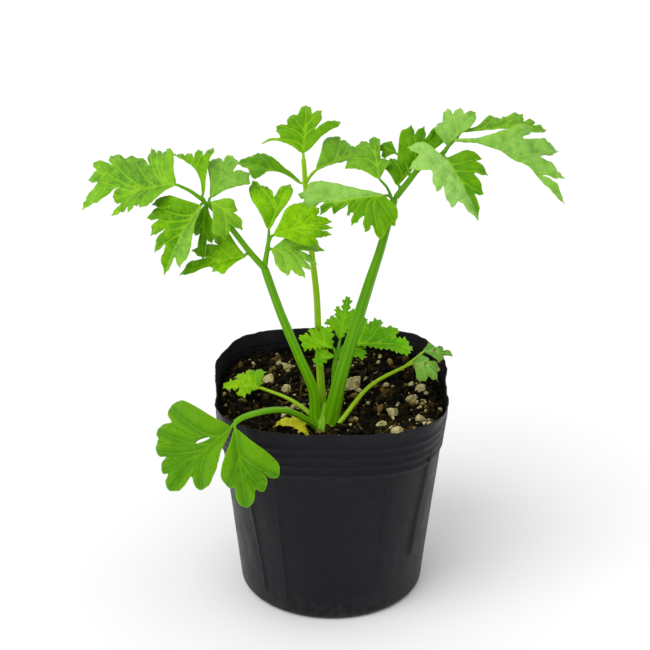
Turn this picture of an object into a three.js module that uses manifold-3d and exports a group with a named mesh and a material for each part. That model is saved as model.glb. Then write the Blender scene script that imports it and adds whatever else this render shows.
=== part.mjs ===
// Potted celery: a young plant in a thin black nursery pot.
// Millimetres, +Z up. The origin is the centre of the pot's underside, and the plant faces -Y.
import * as THREE from "three";
import { mergeVertices } from "three/addons/utils/BufferGeometryUtils.js";
import Module from "manifold-3d";

const wasm = await Module();
wasm.setup();

// Pot
const potHeight = 80;
const mouthHalfWidth = 41;
const baseRadius = 32.5;
const filmWall = 0.6;
const baseThickness = 0.8;
const baseCorner = 2.5;
const mouthSquareness = 3.3; // superellipse power of the mouth: 2 is a circle
const ringCount = 4;
const ringPitch = 3.5;
const ringProud = 0.5;
const firstRingBelowRim = 6.6;
const drainHoleRadius = 4;
const drainHoleOffset = 19;
const drainHoleCount = 4;

// Soil and what lies in it
const soilBelowRim = 8;
const soilBumps = 0.7;
const touchGap = 0.3; // left between pieces that touch
const granuleSunk = 0.35; // share of a granule's radius that its centre lies below the soil

// Plant
const crownRadius = 5.2;
const crownAboveSoil = 2;
const crownDepth = 12;
const bladeThickness = 0.5;
const lobeHalfWidth = 4.2;
const neckHalfWidth = 0.6;
const openSide = 60; // degrees of free room beside the first and last lobes
const shoulderShare = 0.83; // how far along a lobe it is widest
const wedgeCurve = 1.3; // how slowly a blade widens from its neck
const shallowNotch = 0.86; // how far out the notch between close lobes lies
const closeLobes = 2.5; // lobes whose tips are this near are teeth of one lobe
const partedLobes = 7.5; // lobes whose tips are this far apart are fully parted
const lowLeafAboveRim = 3;
const lowLeafClear = 7; // the hanging leaf's base stands this far outside the mouth

// Resolution
const potSides = 48;
const stalkSides = 8;
const stalkStep = 7;

const soilLevel = potHeight - soilBelowRim;
const colour = {
  film: 0x1e1e22,
  soil: 0x17110c,
  pumice: 0xc8c398,
  crown: 0xa9cf6a,
  stalk: 0x5aa818,
  paleStalk: 0x8cc62a,
  leaf: 0x63b010,
  youngLeaf: 0x7cc91c,
  oldLeaf: 0x6aa544,
  fallenLeaf: 0xb9b417,
};

const plant = new THREE.Group();
const radians = THREE.MathUtils.degToRad;
const lerp = THREE.MathUtils.lerp;
const polar = (degrees, radius) =>
  new THREE.Vector3(radius * Math.cos(radians(degrees)), radius * Math.sin(radians(degrees)), 0);

function addPiece(name, geometry, hex, roughness) {
  const material = new THREE.MeshStandardMaterial({ color: hex, roughness, metalness: 0 });
  const mesh = new THREE.Mesh(geometry, material);
  mesh.name = name;
  plant.add(mesh);
  return mesh;
}

// ---------------------------------------------------------------- solids

function toSolid(geometry) {
  const bare = geometry.clone();
  bare.deleteAttribute("normal");
  bare.deleteAttribute("uv");
  const merged = mergeVertices(bare, 1e-4);
  return new wasm.Manifold(
    new wasm.Mesh({
      numProp: 3,
      vertProperties: merged.attributes.position.array,
      triVerts: new Uint32Array(merged.index.array),
    }),
  );
}

function toGeometry(solid) {
  const mesh = solid.getMesh();
  const geometry = new THREE.BufferGeometry();
  geometry.setAttribute("position", new THREE.BufferAttribute(mesh.vertProperties, 3));
  geometry.setIndex(new THREE.BufferAttribute(mesh.triVerts, 1));
  return geometry;
}

function moveVertices(geometry, move) {
  const position = geometry.getAttribute("position");
  const vertex = new THREE.Vector3();
  for (let i = 0; i < position.count; i += 1) {
    vertex.fromBufferAttribute(position, i);
    move(vertex);
    position.setXYZ(i, vertex.x, vertex.y, vertex.z);
  }
  return geometry;
}

// ---------------------------------------------------------------- pot and soil

// The plan changes from a circle at the base to a rounded square at the mouth.
function planStretch(angle, z) {
  const share = THREE.MathUtils.clamp(z / potHeight, 0, 1);
  const power = lerp(2, mouthSquareness, Math.pow(share, 1.5));
  const sum = Math.pow(Math.abs(Math.cos(angle)), power) + Math.pow(Math.abs(Math.sin(angle)), power);
  return Math.pow(sum, -1 / power);
}

// Heights at which the inside of the wall and the soil's side both have a row of corners, from the top down.
const wallHeights = [soilLevel, potHeight * 0.7, potHeight * 0.4, baseThickness + baseCorner];
const wallRadius = (z) => lerp(baseRadius, mouthHalfWidth, z / potHeight);

function squareUp(geometry) {
  return moveVertices(geometry, (v) => {
    const radius = Math.hypot(v.x, v.y);
    if (radius < 1e-6) return;
    const stretch = planStretch(Math.atan2(v.y, v.x), v.z);
    v.x *= stretch;
    v.y *= stretch;
  });
}

// A lathe turned from three.js's Y axis to Z, then given the pot's plan.
function turned(profile) {
  const points = profile.map(([radius, z]) => new THREE.Vector2(radius, z));
  const geometry = new THREE.LatheGeometry(points, potSides);
  geometry.rotateX(Math.PI / 2);
  return squareUp(geometry);
}

function outerWallProfile() {
  const profile = [
    [baseRadius - baseCorner, 0],
    [baseRadius - baseCorner * 0.3, baseCorner * 0.3],
    [wallRadius(baseCorner), baseCorner],
    [wallRadius(potHeight / 2), potHeight / 2],
  ];
  for (let ring = ringCount - 1; ring >= 0; ring -= 1) {
    const z = potHeight - firstRingBelowRim - ring * ringPitch;
    const half = ringPitch * 0.3;
    profile.push([wallRadius(z - half), z - half]);
    profile.push([wallRadius(z) + ringProud, z]);
    profile.push([wallRadius(z + half), z + half]);
  }
  profile.push([wallRadius(potHeight), potHeight]);
  return profile;
}

function makePot() {
  const inner = [potHeight, ...wallHeights].map((z) => [wallRadius(z) - filmWall, z]);
  const floor = [
    [baseRadius - filmWall - baseCorner, baseThickness],
    [0, baseThickness],
  ];
  let pot = toSolid(turned([[0, 0], ...outerWallProfile(), ...inner, ...floor]));
  for (let i = 0; i < drainHoleCount; i += 1) {
    const centre = polar(45 + (360 / drainHoleCount) * i, drainHoleOffset);
    const drill = new THREE.CylinderGeometry(drainHoleRadius, drainHoleRadius, baseThickness * 4, 16);
    drill.rotateX(Math.PI / 2);
    drill.translate(centre.x, centre.y, 0);
    pot = pot.subtract(toSolid(drill));
  }
  addPiece("pot", toGeometry(pot), colour.film, 0.42);
}

// The soil's top: low mounds about 20 mm apart.
function soilTop(x, y) {
  const mounds = Math.sin(0.31 * x + 0.8) * Math.cos(0.27 * y) + 0.5 * Math.sin(0.55 * y + 0.2 * x);
  return soilLevel + soilBumps * mounds;
}

const soilRadius = (z) => wallRadius(z) - filmWall - touchGap;

// A place on the soil: the direction from the pot's axis and the share of the way to the wall.
function soilPoint(degrees, share) {
  const point = polar(degrees, share * soilRadius(soilLevel) * planStretch(radians(degrees), soilLevel));
  point.z = soilTop(point.x, point.y);
  return point;
}

function soilGeometry() {
  const bottom = baseThickness + touchGap;
  const topRings = 6;
  const side = wallHeights.slice(1).reverse().map((z) => [soilRadius(z), z]);
  const profile = [[0, bottom], [baseRadius - filmWall - baseCorner - 2 * touchGap, bottom], ...side];
  for (let ring = topRings; ring >= 0; ring -= 1) {
    profile.push([(soilRadius(soilLevel) * ring) / topRings, soilLevel]);
  }
  return moveVertices(turned(profile), (v) => {
    if (v.z > soilLevel - 0.01) v.z = soilTop(v.x, v.y);
  });
}

// ---------------------------------------------------------------- stalks

// A round stalk along a curve, as thick at each end as its two radii say.
function stalkGeometry(points, startRadius, endRadius) {
  const path = new THREE.CatmullRomCurve3(points, false, "centripetal");
  const steps = Math.max(4, Math.round(path.getLength() / stalkStep));
  const section = new THREE.Shape(new THREE.EllipseCurve(0, 0, 1, 1).getPoints(stalkSides).slice(1));
  const geometry = new THREE.ExtrudeGeometry(section, { steps, extrudePath: path });
  const centres = path.getSpacedPoints(steps);
  const offset = new THREE.Vector3();
  return moveVertices(geometry, (v) => {
    const distances = centres.map((centre) => centre.distanceTo(v));
    const nearest = distances.indexOf(Math.min(...distances));
    offset.subVectors(v, centres[nearest]).multiplyScalar(lerp(startRadius, endRadius, nearest / steps));
    v.addVectors(centres[nearest], offset);
  });
}

// ---------------------------------------------------------------- leaflets

// A lobed blade from its base at the origin, in the plane of x (right) and y (uphill).
// Each lobe is [degrees clockwise from uphill, reach]. Lobes close together are parted by shallow notches,
// and lobes far apart by a notch that goes in to the share `cut` of the shorter one.
function bladeShape(lobes, cut) {
  const at = (degrees, reach) =>
    new THREE.Vector2(reach * Math.sin(radians(degrees)), reach * Math.cos(radians(degrees)));
  const lastLobe = lobes.length - 1;
  // How far out the notch after a gap in degrees lies, beside lobes that reach this far.
  const notchShare = (gap, reach) => {
    const room = THREE.MathUtils.smoothstep(radians(gap) * reach, closeLobes, partedLobes);
    return lerp(shallowNotch, cut, room);
  };
  // A corner beside a lobe's tip, on the side with `gap` degrees to the next lobe.
  const shoulder = ([degrees, reach], side, gap) => {
    const share = Math.max(shoulderShare, (1 + notchShare(gap, reach)) / 2);
    const spread = Math.min(gap * 0.4, THREE.MathUtils.radToDeg(lobeHalfWidth / (reach * share)));
    return at(degrees + side * spread, reach * share);
  };
  // The outer edge of the first or last lobe: a wedge that widens from the neck.
  const flank = ([degrees, reach], side) => [
    at(degrees + side * openSide, neckHalfWidth),
    ...[0.3, 0.6].map((share) => {
      const halfWidth = lobeHalfWidth * Math.pow(share / shoulderShare, wedgeCurve);
      const spread = Math.min(openSide * 0.4, THREE.MathUtils.radToDeg(halfWidth / (reach * share)));
      return at(degrees + side * spread, reach * share);
    }),
  ];
  const points = flank(lobes[0], -1);
  lobes.forEach((lobe, i) => {
    const [degrees, reach] = lobe;
    const before = i > 0 ? degrees - lobes[i - 1][0] : openSide;
    const after = i < lastLobe ? lobes[i + 1][0] - degrees : openSide;
    points.push(shoulder(lobe, -1, before), at(degrees, reach), shoulder(lobe, 1, after));
    if (i < lastLobe) {
      const shorter = Math.min(reach, lobes[i + 1][1]);
      points.push(at(degrees + after / 2, shorter * notchShare(after, shorter)));
    }
  });
  points.push(...flank(lobes[lastLobe], 1).reverse());
  return new THREE.Shape(points.reverse());
}

// The blade falls back from its plane as the square of the distance from its base.
function bladeGeometry(lobes, cut, sag) {
  const shape = bladeShape(lobes, cut);
  const geometry = new THREE.ExtrudeGeometry(shape, { depth: bladeThickness, bevelEnabled: false });
  const longest = Math.max(...lobes.map((lobe) => lobe[1]));
  return moveVertices(geometry, (v) => {
    const share = Math.hypot(v.x, v.y) / longest;
    v.z += -bladeThickness / 2 - sag * share * share;
  });
}

// faces is the azimuth and elevation that the blade's upper side looks to.
function placeBlade(mesh, at, [azimuth, elevation]) {
  const normal = polar(azimuth, Math.cos(radians(elevation)));
  normal.z = Math.sin(radians(elevation));
  const uphill = new THREE.Vector3(0, 0, 1).addScaledVector(normal, -normal.z).normalize();
  const right = new THREE.Vector3().crossVectors(uphill, normal);
  mesh.position.copy(at);
  mesh.quaternion.setFromRotationMatrix(new THREE.Matrix4().makeBasis(right, uphill, normal));
}

// ---------------------------------------------------------------- the plant's places

const crownFoot = soilPoint(-97, 0.47);
crownFoot.z = soilLevel;
const crownTop = crownFoot.clone().setZ(soilLevel + crownAboveSoil);
const fromCrown = ([x, y, z]) => new THREE.Vector3(x, y, z).add(crownTop);

// A place near the mouth: its direction, how far it is outside the wall, and its height above the rim.
function rimPoint(degrees, outside, above) {
  const point = polar(degrees, mouthHalfWidth * planStretch(radians(degrees), potHeight) + outside);
  point.z = potHeight + above;
  return point;
}

function aboveSoil(degrees, share, above) {
  const point = soilPoint(degrees, share);
  point.z += above;
  return point;
}

const lowLeftBase = rimPoint(-129, lowLeafClear, lowLeafAboveRim);
// The leaflets of each low leaf stand apart by as much as their width and thickness need.
const besideLowLeft = new THREE.Vector3(lobeHalfWidth / 3, -lobeHalfWidth / 3, bladeThickness * 0.8);
const lowRightEnd = rimPoint(0, -13.5, lowLeafAboveRim + 3);
const besideLowRight = new THREE.Vector3(4.9, 5 + bladeThickness, 1.9 + bladeThickness / 2);
const smallLeftEnd = aboveSoil(195, 0.65, 8);

// ---------------------------------------------------------------- stalk pieces

// Each branch is { points, from, to }: its curve and its radii at the two ends.
const STALKS = {
  left_stalk: [
    { points: [[-3.5, -0.6, 0.7], [-3.7, -0.8, 11], [-8.9, -3.7, 26.7], [-15.1, -7.7, 45.6],
        [-20.1, -10.7, 63.2]], from: 2.2, to: 1.5 },
    { points: [[-19.8, -10.6, 62.2], [-24.3, -11.2, 68], [-32.7, -9.7, 79], [-39.2, -8.7, 85.6]],
      from: 1.2, to: 0.8 },
    { points: [[-38.8, -8.8, 85.2], [-44.3, -7.9, 89.1], [-47.8, -7.7, 90.8]], from: 0.8, to: 0.5 },
    { points: [[-20, -10.7, 62.4], [-19.1, -10.2, 68.4], [-18.4, -8.9, 72.8]], from: 1, to: 0.6 },
  ],
  centre_stalk: [
    { points: [[-0.8, 3.7, 0.7], [-1.5, 6.8, 12], [-2.2, 10.2, 24], [-2.9, 11.4, 42], [-4.8, 12.4, 60],
        [-6.4, 15.3, 78], [-7.3, 17.2, 90.6]], from: 1.5, to: 0.8 },
    { points: [[-6.7, 15.9, 81.4], [-5, 15.5, 84.5], [-4, 15.3, 85.8]], from: 0.6, to: 0.45 },
  ],
  right_stalk: [
    { points: [[1.9, -0.8, 1.3], [5.1, 0.3, 15.8], [9.8, 0.8, 33.6], [15.1, 1.3, 52.5], [18.4, 1.5, 63.6],
        [23.2, 2.3, 82.7]], from: 3, to: 1.3 },
    { points: [[22.9, 2.3, 81.6], [27.8, 2.8, 88.2], [31, 3.3, 92.3], [35.3, 3.8, 94.9], [39.6, 4.2, 97.4]],
      from: 1.1, to: 0.8 },
    { points: [[39, 4.1, 97.2], [40.2, 4.6, 98.8], [41.2, 5, 100.3]], from: 0.7, to: 0.5 },
    { points: [[37.4, 4, 96.2], [39, 6, 97], [40.2, 7.3, 98]], from: 0.6, to: 0.45 },
    { points: [[35.3, 3.8, 94.9], [38.6, 8.4, 95.6], [42.4, 12, 98.2], [44.7, 13, 100.4]],
      from: 0.6, to: 0.45 },
  ],
  young_stalk: [
    { points: [[2.6, 4.4, 0.7], [2.9, 4.4, 10], [3.2, 5.2, 17.5], [4.2, 6.6, 22]], from: 0.9, to: 0.7 },
  ],
};

// ---------------------------------------------------------------- leaflet pieces

// Leaflets on the tall stalks: [name, place from the crown, facing, sag, cut, lobes].
const TALL_LEAFLETS = [
  ["left_basal_leaflet", [-26.4, -13.2, 67.8], [-95, 50], 4, 0.62,
    [[-115, 12], [-104, 23], [-81, 19], [-56, 14]]],
  ["left_inner_lower_leaflet", [-17.4, -11.6, 69.6], [-80, 55], 4, 0.7,
    [[61, 11], [85, 19], [107, 16], [132, 14], [152, 12]]],
  ["left_inner_upper_leaflet", [-16.8, -10.2, 74.2], [-92, 45], 3, 0.75,
    [[41, 15], [54, 18], [70, 20], [86, 19], [100, 14]]],
  ["left_inner_end_leaflet", [-18.6, -7.2, 74.8], [-90, 45], 3, 0.6, [[-16, 20], [6, 15], [30, 20]]],
  ["left_far_leaflet", [-49, -7.9, 91.4], [-110, 50], 6, 0.6,
    [[-132, 14], [-123, 24], [-107, 35], [-78, 33], [-66, 20], [-46, 18], [-33, 15]]],
  ["left_fore_leaflet", [-40.6, -12, 85.4], [-110, 40], 6, 0.66,
    [[-169, 22], [-156, 27], [-140, 23], [-120, 22], [-100, 20]]],
  ["left_under_leaflet", [-39.2, -6.6, 83.6], [-100, 30], 2, 0.75, [[-192, 13], [-179, 18], [-164, 11]]],
  ["left_up_leaflet", [-40, -7, 87.2], [-100, 50], 4, 0.66, [[-41, 27], [-26, 22], [-3, 19]]],
  ["left_back_leaflet", [-37.6, -5.4, 85.6], [-80, 50], 3, 0.7, [[16, 17], [29, 20], [58, 17]]],
  ["left_side_leaflet", [-37, -11.5, 86.6], [-80, 55], 4, 0.7, [[108, 9], [132, 13], [165, 13]]],
  ["centre_end_leaflet", [-7.4, 17.3, 92.4], [-85, 45], 5, 0.62,
    [[-68, 14], [-44, 13], [-13, 15], [8, 20], [23, 18], [47, 19]]],
  ["centre_left_leaflet", [-8.2, 15.6, 81.8], [-95, 60], 4, 0.62, [[-82, 17], [-64, 27], [-46, 22]]],
  ["centre_right_leaflet", [-3, 15.3, 87], [-80, 60], 4, 0.66, [[32, 19], [49, 22], [73, 17], [99, 17]]],
  ["right_inner_leaflet", [17.8, 0.3, 90], [-100, 55], 4, 0.7, [[-56, 15], [-27, 19], [-14, 20], [6, 9]]],
  ["right_small_leaflet", [23.6, 12.3, 94.4], [-90, 60], 2, 0.75,
    [[-100, 5], [-62, 8], [-38, 7]]],
  ["right_low_leaflet", [19.4, -1.2, 84.6], [-100, 50], 5, 0.66,
    [[-207, 12], [-181, 16], [-161, 14], [-141, 15], [-114, 20], [-101, 31], [-88, 28]]],
  ["right_up_leaflet", [24, 4, 86], [-90, 35], 3, 0.7,
    [[-13, 10], [13, 22], [24, 23], [36, 28]]],
  ["right_end_low_leaflet", [39.8, 0, 97.1], [-85, 50], 4, 0.62,
    [[-250, 15], [-224, 17], [-207, 22], [-183, 17], [-161, 12], [-97, 13], [-66, 14]]],
  ["right_end_side_leaflet", [42, 6, 101.4], [-75, 50], 6, 0.5,
    [[83, 23], [97, 38], [110, 40], [124, 42]]],
  ["right_end_back_leaflet", [45.2, 13.6, 101.4], [-70, 50], 3, 0.6,
    [[62, 17], [72, 29], [83, 35]]],
  ["right_end_up_leaflet", [40.6, 8, 98.8], [-90, 48], 1, 0.7,
    [[-26, 10], [2, 18], [15, 19], [32, 19]]],
];

const YOUNG_LEAFLETS = [
  ["young_low_left_leaflet", [3, 5.4, 21.6], [-72, 40], 1, 0.8, [[-92, 7], [-64, 6]]],
  ["young_left_leaflet", [2.6, 6.4 - bladeThickness, 24.6], [-68, 30], 1.5, 0.75,
    [[-62, 12], [-42, 10], [-16, 8]]],
  ["young_end_leaflet", [5.2, 9.8, 26], [-90, 40], 2, 0.8, [[-18, 9], [-4, 12], [10, 16], [24, 12]]],
  ["young_right_leaflet", [7, 9, 24.4], [-75, 50], 3, 0.8,
    [[47, 13], [63, 17], [79, 21], [95, 25]]],
  ["young_low_right_leaflet", [6.4, 7, 21.6], [-80, 50], 1, 0.8, [[66, 9], [86, 8]]],
];

// Leaflets of the low leaves, placed by the pot.
const LOW_LEAFLETS = [
  ["low_left_outer_leaflet", lowLeftBase, [-105, 40], 6, 0.66,
    [[-160, 23], [-140, 31], [-117, 28], [-98, 26], [-73, 21]]],
  ["low_left_inner_leaflet", lowLeftBase.clone().add(besideLowLeft), [-90, 35], 4, 0.72,
    [[118, 15], [139, 22], [154, 23], [171, 26], [185, 19]]],
  ["low_right_front_leaflet", lowRightEnd.clone().add(new THREE.Vector3(1.2, -0.4, 0.2)), [-75, 65], 2, 0.78,
    [[66, 7], [104, 10], [131, 10], [160, 8]]],
  ["low_right_back_leaflet", lowRightEnd.clone().add(besideLowRight), [-60, 60], 2, 0.78,
    [[76, 6], [89, 9], [107, 12], [126, 8]]],
  ["small_left_leaflet", smallLeftEnd, [-100, 60], 1, 0.7,
    [[-111, 8], [-89, 13], [-62, 10], [-36, 9], [-12, 8]]],
];

const FALLEN_LEAF = ["fallen_leaf", aboveSoil(-118, 0.66, 2.2), [-100, 78], 0.6, 0.8,
  [[-86, 7], [-56, 6], [-20, 5], [100, 5], [124, 7]]];

function addStalks() {
  const pieces = Object.entries(STALKS).map(([name, branches]) => [
    name,
    branches.map(({ points, from, to }) => [points.map(fromCrown), from, to]),
  ]);
  const over = crownFoot.clone().lerp(lowRightEnd, 0.5).setZ(potHeight + lowLeafAboveRim - 1);
  pieces.push(["low_right_stalk", [[[fromCrown([6.2, -2.4, 1.2]), over, lowRightEnd], 0.9, 0.6]]]);
  const rise = crownFoot.clone().lerp(lowLeftBase, 0.45).setZ(potHeight + lowLeafAboveRim);
  const arch = crownFoot.clone().lerp(lowLeftBase, 0.85).setZ(potHeight + lowLeafAboveRim + 2.5);
  const hang = lowLeftBase.clone().add(new THREE.Vector3(1, 1, 1.4));
  pieces.push(["low_left_stalk", [[[fromCrown([-4.9, -3.8, 0.9]), rise, arch, hang], 1.2, 0.9]]]);
  const bend = crownFoot.clone().lerp(smallLeftEnd, 0.5).setZ(soilLevel + 6);
  const tip = smallLeftEnd.clone().add(new THREE.Vector3(1.3, -0.2, -0.2));
  pieces.push(["small_left_stalk", [[[fromCrown([-4.9, 2.4, 0.7]), bend, tip], 0.8, 0.5]]]);
  for (const [name, branches] of pieces) {
    const solids = branches.map(([points, from, to]) => toSolid(stalkGeometry(points, from, to)));
    const joined = solids.reduce((whole, solid) => whole.add(solid));
    addPiece(name, toGeometry(joined), name === "centre_stalk" ? colour.paleStalk : colour.stalk, 0.45);
  }
}

function addLeaflet([name, at, facing, sag, cut, lobes], hex) {
  placeBlade(addPiece(name, bladeGeometry(lobes, cut, sag), hex, 0.5), at, facing);
}

function addLeaflets() {
  for (const [name, at, ...rest] of TALL_LEAFLETS) {
    addLeaflet([name, fromCrown(at), ...rest], colour.leaf);
  }
  for (const [name, at, ...rest] of YOUNG_LEAFLETS) {
    addLeaflet([name, fromCrown(at), ...rest], colour.youngLeaf);
  }
  for (const row of LOW_LEAFLETS) {
    addLeaflet(row, row[0].startsWith("low_left") ? colour.leaf : colour.oldLeaf);
  }
  addLeaflet(FALLEN_LEAF, colour.fallenLeaf);
}

// ---------------------------------------------------------------- crown, soil and granules

function crownGeometry(extra) {
  const r = crownRadius + extra;
  const top = crownAboveSoil + extra;
  const profile = [
    [0, -crownDepth - extra],
    [r * 0.55, -crownDepth - extra],
    [r * 0.95, -crownDepth * 0.4],
    [r, -crownDepth * 0.1],
    [r * 0.92, top * 0.6],
    [r * 0.6, top],
    [0, top],
  ];
  const points = profile.map(([radius, z]) => new THREE.Vector2(radius, z));
  const geometry = new THREE.LatheGeometry(points, 16);
  geometry.rotateX(Math.PI / 2);
  geometry.translate(crownFoot.x, crownFoot.y, crownFoot.z);
  return geometry;
}

// Pumice granules: [direction, share of the way to the wall, size].
const GRANULES = [
  [49, 0.24, 5.4], [150, 0.62, 3.6], [125, 0.65, 3], [158, 0.42, 3], [213, 0.42, 3.2], [207, 0.34, 2.6],
  [-24, 0.56, 3.6], [-48, 0.58, 3], [-27, 0.83, 3.2], [-2, 0.71, 3.6], [13, 0.81, 3], [-49, 0.78, 3.6],
  [-31, 0.96, 2.4], [80, 0.7, 3.4],
];

// A rough lump: a ball whose corners are pushed in and out by a fixed pattern that differs by its number.
function granuleGeometry(size, number, extra) {
  const radius = size / 2;
  return moveVertices(new THREE.IcosahedronGeometry(1, 1), (v) => {
    const across = Math.sin(5.1 * v.x + 2.3 * number);
    const along = Math.cos(4.3 * v.y - 1.7 * number + 3 * v.z);
    v.multiplyScalar(radius * (1 + 0.14 * across * along) + extra);
    v.z *= 0.85;
  });
}

function addSoilAndGranules() {
  let soil = toSolid(soilGeometry()).subtract(toSolid(crownGeometry(touchGap)));
  GRANULES.forEach(([degrees, share, size], number) => {
    const centre = aboveSoil(degrees, share, -granuleSunk * size * 0.5);
    const lump = granuleGeometry(size, number, 0).translate(centre.x, centre.y, centre.z);
    const socket = granuleGeometry(size, number, touchGap).translate(centre.x, centre.y, centre.z);
    soil = soil.subtract(toSolid(socket));
    addPiece(`granule_${number + 1}`, lump, colour.pumice, 0.9);
  });
  addPiece("soil", toGeometry(soil), colour.soil, 0.95);
}

makePot();
addSoilAndGranules();
addPiece("crown", crownGeometry(0), colour.crown, 0.5);
addStalks();
addLeaflets();

export default plant;
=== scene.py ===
"""Potted celery: the look of the plant, its film pot and its soil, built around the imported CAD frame."""

import math

import bmesh
import bpy
import numpy as np
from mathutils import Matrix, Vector, noise
from mathutils.geometry import delaunay_2d_cdt


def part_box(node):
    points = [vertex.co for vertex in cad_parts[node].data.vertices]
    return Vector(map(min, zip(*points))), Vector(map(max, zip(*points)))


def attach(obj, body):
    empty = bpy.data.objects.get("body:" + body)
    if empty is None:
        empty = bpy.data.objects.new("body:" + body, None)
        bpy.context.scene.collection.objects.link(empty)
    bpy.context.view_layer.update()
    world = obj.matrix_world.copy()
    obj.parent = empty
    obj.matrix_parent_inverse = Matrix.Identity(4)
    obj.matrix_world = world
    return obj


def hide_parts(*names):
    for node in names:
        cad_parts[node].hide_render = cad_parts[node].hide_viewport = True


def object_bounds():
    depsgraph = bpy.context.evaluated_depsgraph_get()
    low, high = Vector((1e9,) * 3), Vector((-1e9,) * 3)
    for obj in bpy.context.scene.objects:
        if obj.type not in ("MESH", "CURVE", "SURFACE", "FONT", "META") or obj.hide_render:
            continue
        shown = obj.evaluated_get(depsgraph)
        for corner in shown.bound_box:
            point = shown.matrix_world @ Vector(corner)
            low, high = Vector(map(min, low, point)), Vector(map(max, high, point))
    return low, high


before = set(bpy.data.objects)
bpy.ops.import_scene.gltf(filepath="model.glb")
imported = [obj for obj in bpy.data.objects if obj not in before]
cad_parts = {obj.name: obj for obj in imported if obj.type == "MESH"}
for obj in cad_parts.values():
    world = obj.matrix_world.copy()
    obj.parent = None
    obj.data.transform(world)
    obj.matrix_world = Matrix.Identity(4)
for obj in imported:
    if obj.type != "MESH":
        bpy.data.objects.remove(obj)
cad_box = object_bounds()

MM = 0.001
draw = np.random.default_rng(20)

# ---- places read from the frame

pot_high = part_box("pot")[1]
crown_low, crown_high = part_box("crown")
crown_top = Vector(((crown_low.x + crown_high.x) / 2, (crown_low.y + crown_high.y) / 2, crown_high.z)) / MM
POT_HEIGHT = pot_high.z / MM
MOUTH = pot_high.x / MM
SOIL_LEVEL = crown_top.z - 2

# ---- sizes, in millimetres

BASE_RADIUS = 32.5
MOUTH_POWER = 3.3
FILM = 0.4
BASE_CORNER = 2.5
RING_PITCH = 3.5
FIRST_RING = 6.6
RING_COUNT = 4
DRAIN_RADIUS = 4
DRAIN_OFFSET = 19
BLADE_THICKNESS = 0.34
CAD_HALF = 0.25
STONE_SCALE = 1.35
LOBE_HALF_WIDTH = 4.2
NECK_HALF_WIDTH = 0.6
OPEN_SIDE = 60
SHOULDER = 0.83
WEDGE_CURVE = 1.3
SHALLOW_NOTCH = 0.86
CLOSE_LOBES = 2.5
PARTED_LOBES = 7.5
DEEPER = 0.42
MESH_STEP = 0.75
LOBED = 3


# ---- node helpers


class Nodes:
    """A material's node tree, with short calls to add and link nodes."""

    def __init__(self, name):
        self.material = bpy.data.materials.new(name)
        self.material.use_nodes = True
        self.tree = self.material.node_tree

    def put(self, node, inputs):
        """Sets or links a node's inputs, by name or number."""
        for key, value in inputs.items():
            socket = node.inputs[key]
            if isinstance(value, bpy.types.NodeSocket):
                self.tree.links.new(value, socket)
            else:
                socket.default_value = (*value, 1) if socket.type == "RGBA" else value

    def add(self, kind, inputs, output=0, **settings):
        """Adds a node and gives one of its outputs."""
        node = self.tree.nodes.new("ShaderNode" + kind)
        for key, value in settings.items():
            setattr(node, key, value)
        self.put(node, inputs)
        return node.outputs[output]

    def attribute(self, name, output="Fac"):
        return self.add("Attribute", {}, output, attribute_name=name)

    def position(self):
        return self.add("TexCoord", {}, "Object")

    def math(self, operation, *values):
        return self.add("Math", dict(enumerate(values)), operation=operation)

    def times(self, first, second, plus=0.0):
        return self.math("MULTIPLY_ADD", first, second, plus)

    def stretched(self, vector, scale):
        return self.add("Mapping", {"Vector": vector, "Scale": scale})

    def noise(self, vector, scale, detail=4.0, roughness=0.55, distortion=0.0):
        inputs = {"Vector": vector, "Scale": scale, "Detail": detail, "Roughness": roughness,
                  "Distortion": distortion}
        return self.add("TexNoise", inputs, "Fac")

    def cells(self, vector, scale, feature="F1"):
        return self.add("TexVoronoi", {"Vector": vector, "Scale": scale}, "Distance", feature=feature)

    def ramp(self, factor, stops, smooth=False):
        colour = self.add("ValToRGB", {0: factor})
        band = colour.node.color_ramp
        band.interpolation = "EASE" if smooth else "LINEAR"
        while len(band.elements) < len(stops):
            band.elements.new(0.5)
        for element, (place, tint) in zip(band.elements, stops):
            element.position = place
            element.color = (*tint, 1)
        return colour

    def span(self, *values):
        """A value's run from low to high, turned into 0 to 1 or into the two numbers given after them."""
        return self.add("MapRange", dict(enumerate(values)), clamp=True)

    def blend(self, factor, first, second):
        return self.add("Mix", {0: factor, 6: first, 7: second}, 2, data_type="RGBA")

    def bump(self, height, strength, distance, **before):
        return self.add("Bump", {"Height": height, "Strength": strength, "Distance": distance, **before})

    def finish(self, colour, roughness, **more):
        """Sets the shader's inputs. An underscore stands for a space."""
        named = {key.replace("_", " "): value for key, value in more.items()}
        self.put(self.tree.nodes["Principled BSDF"], {"Base Color": colour, "Roughness": roughness, **named})
        return self.material


# ---- materials


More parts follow.
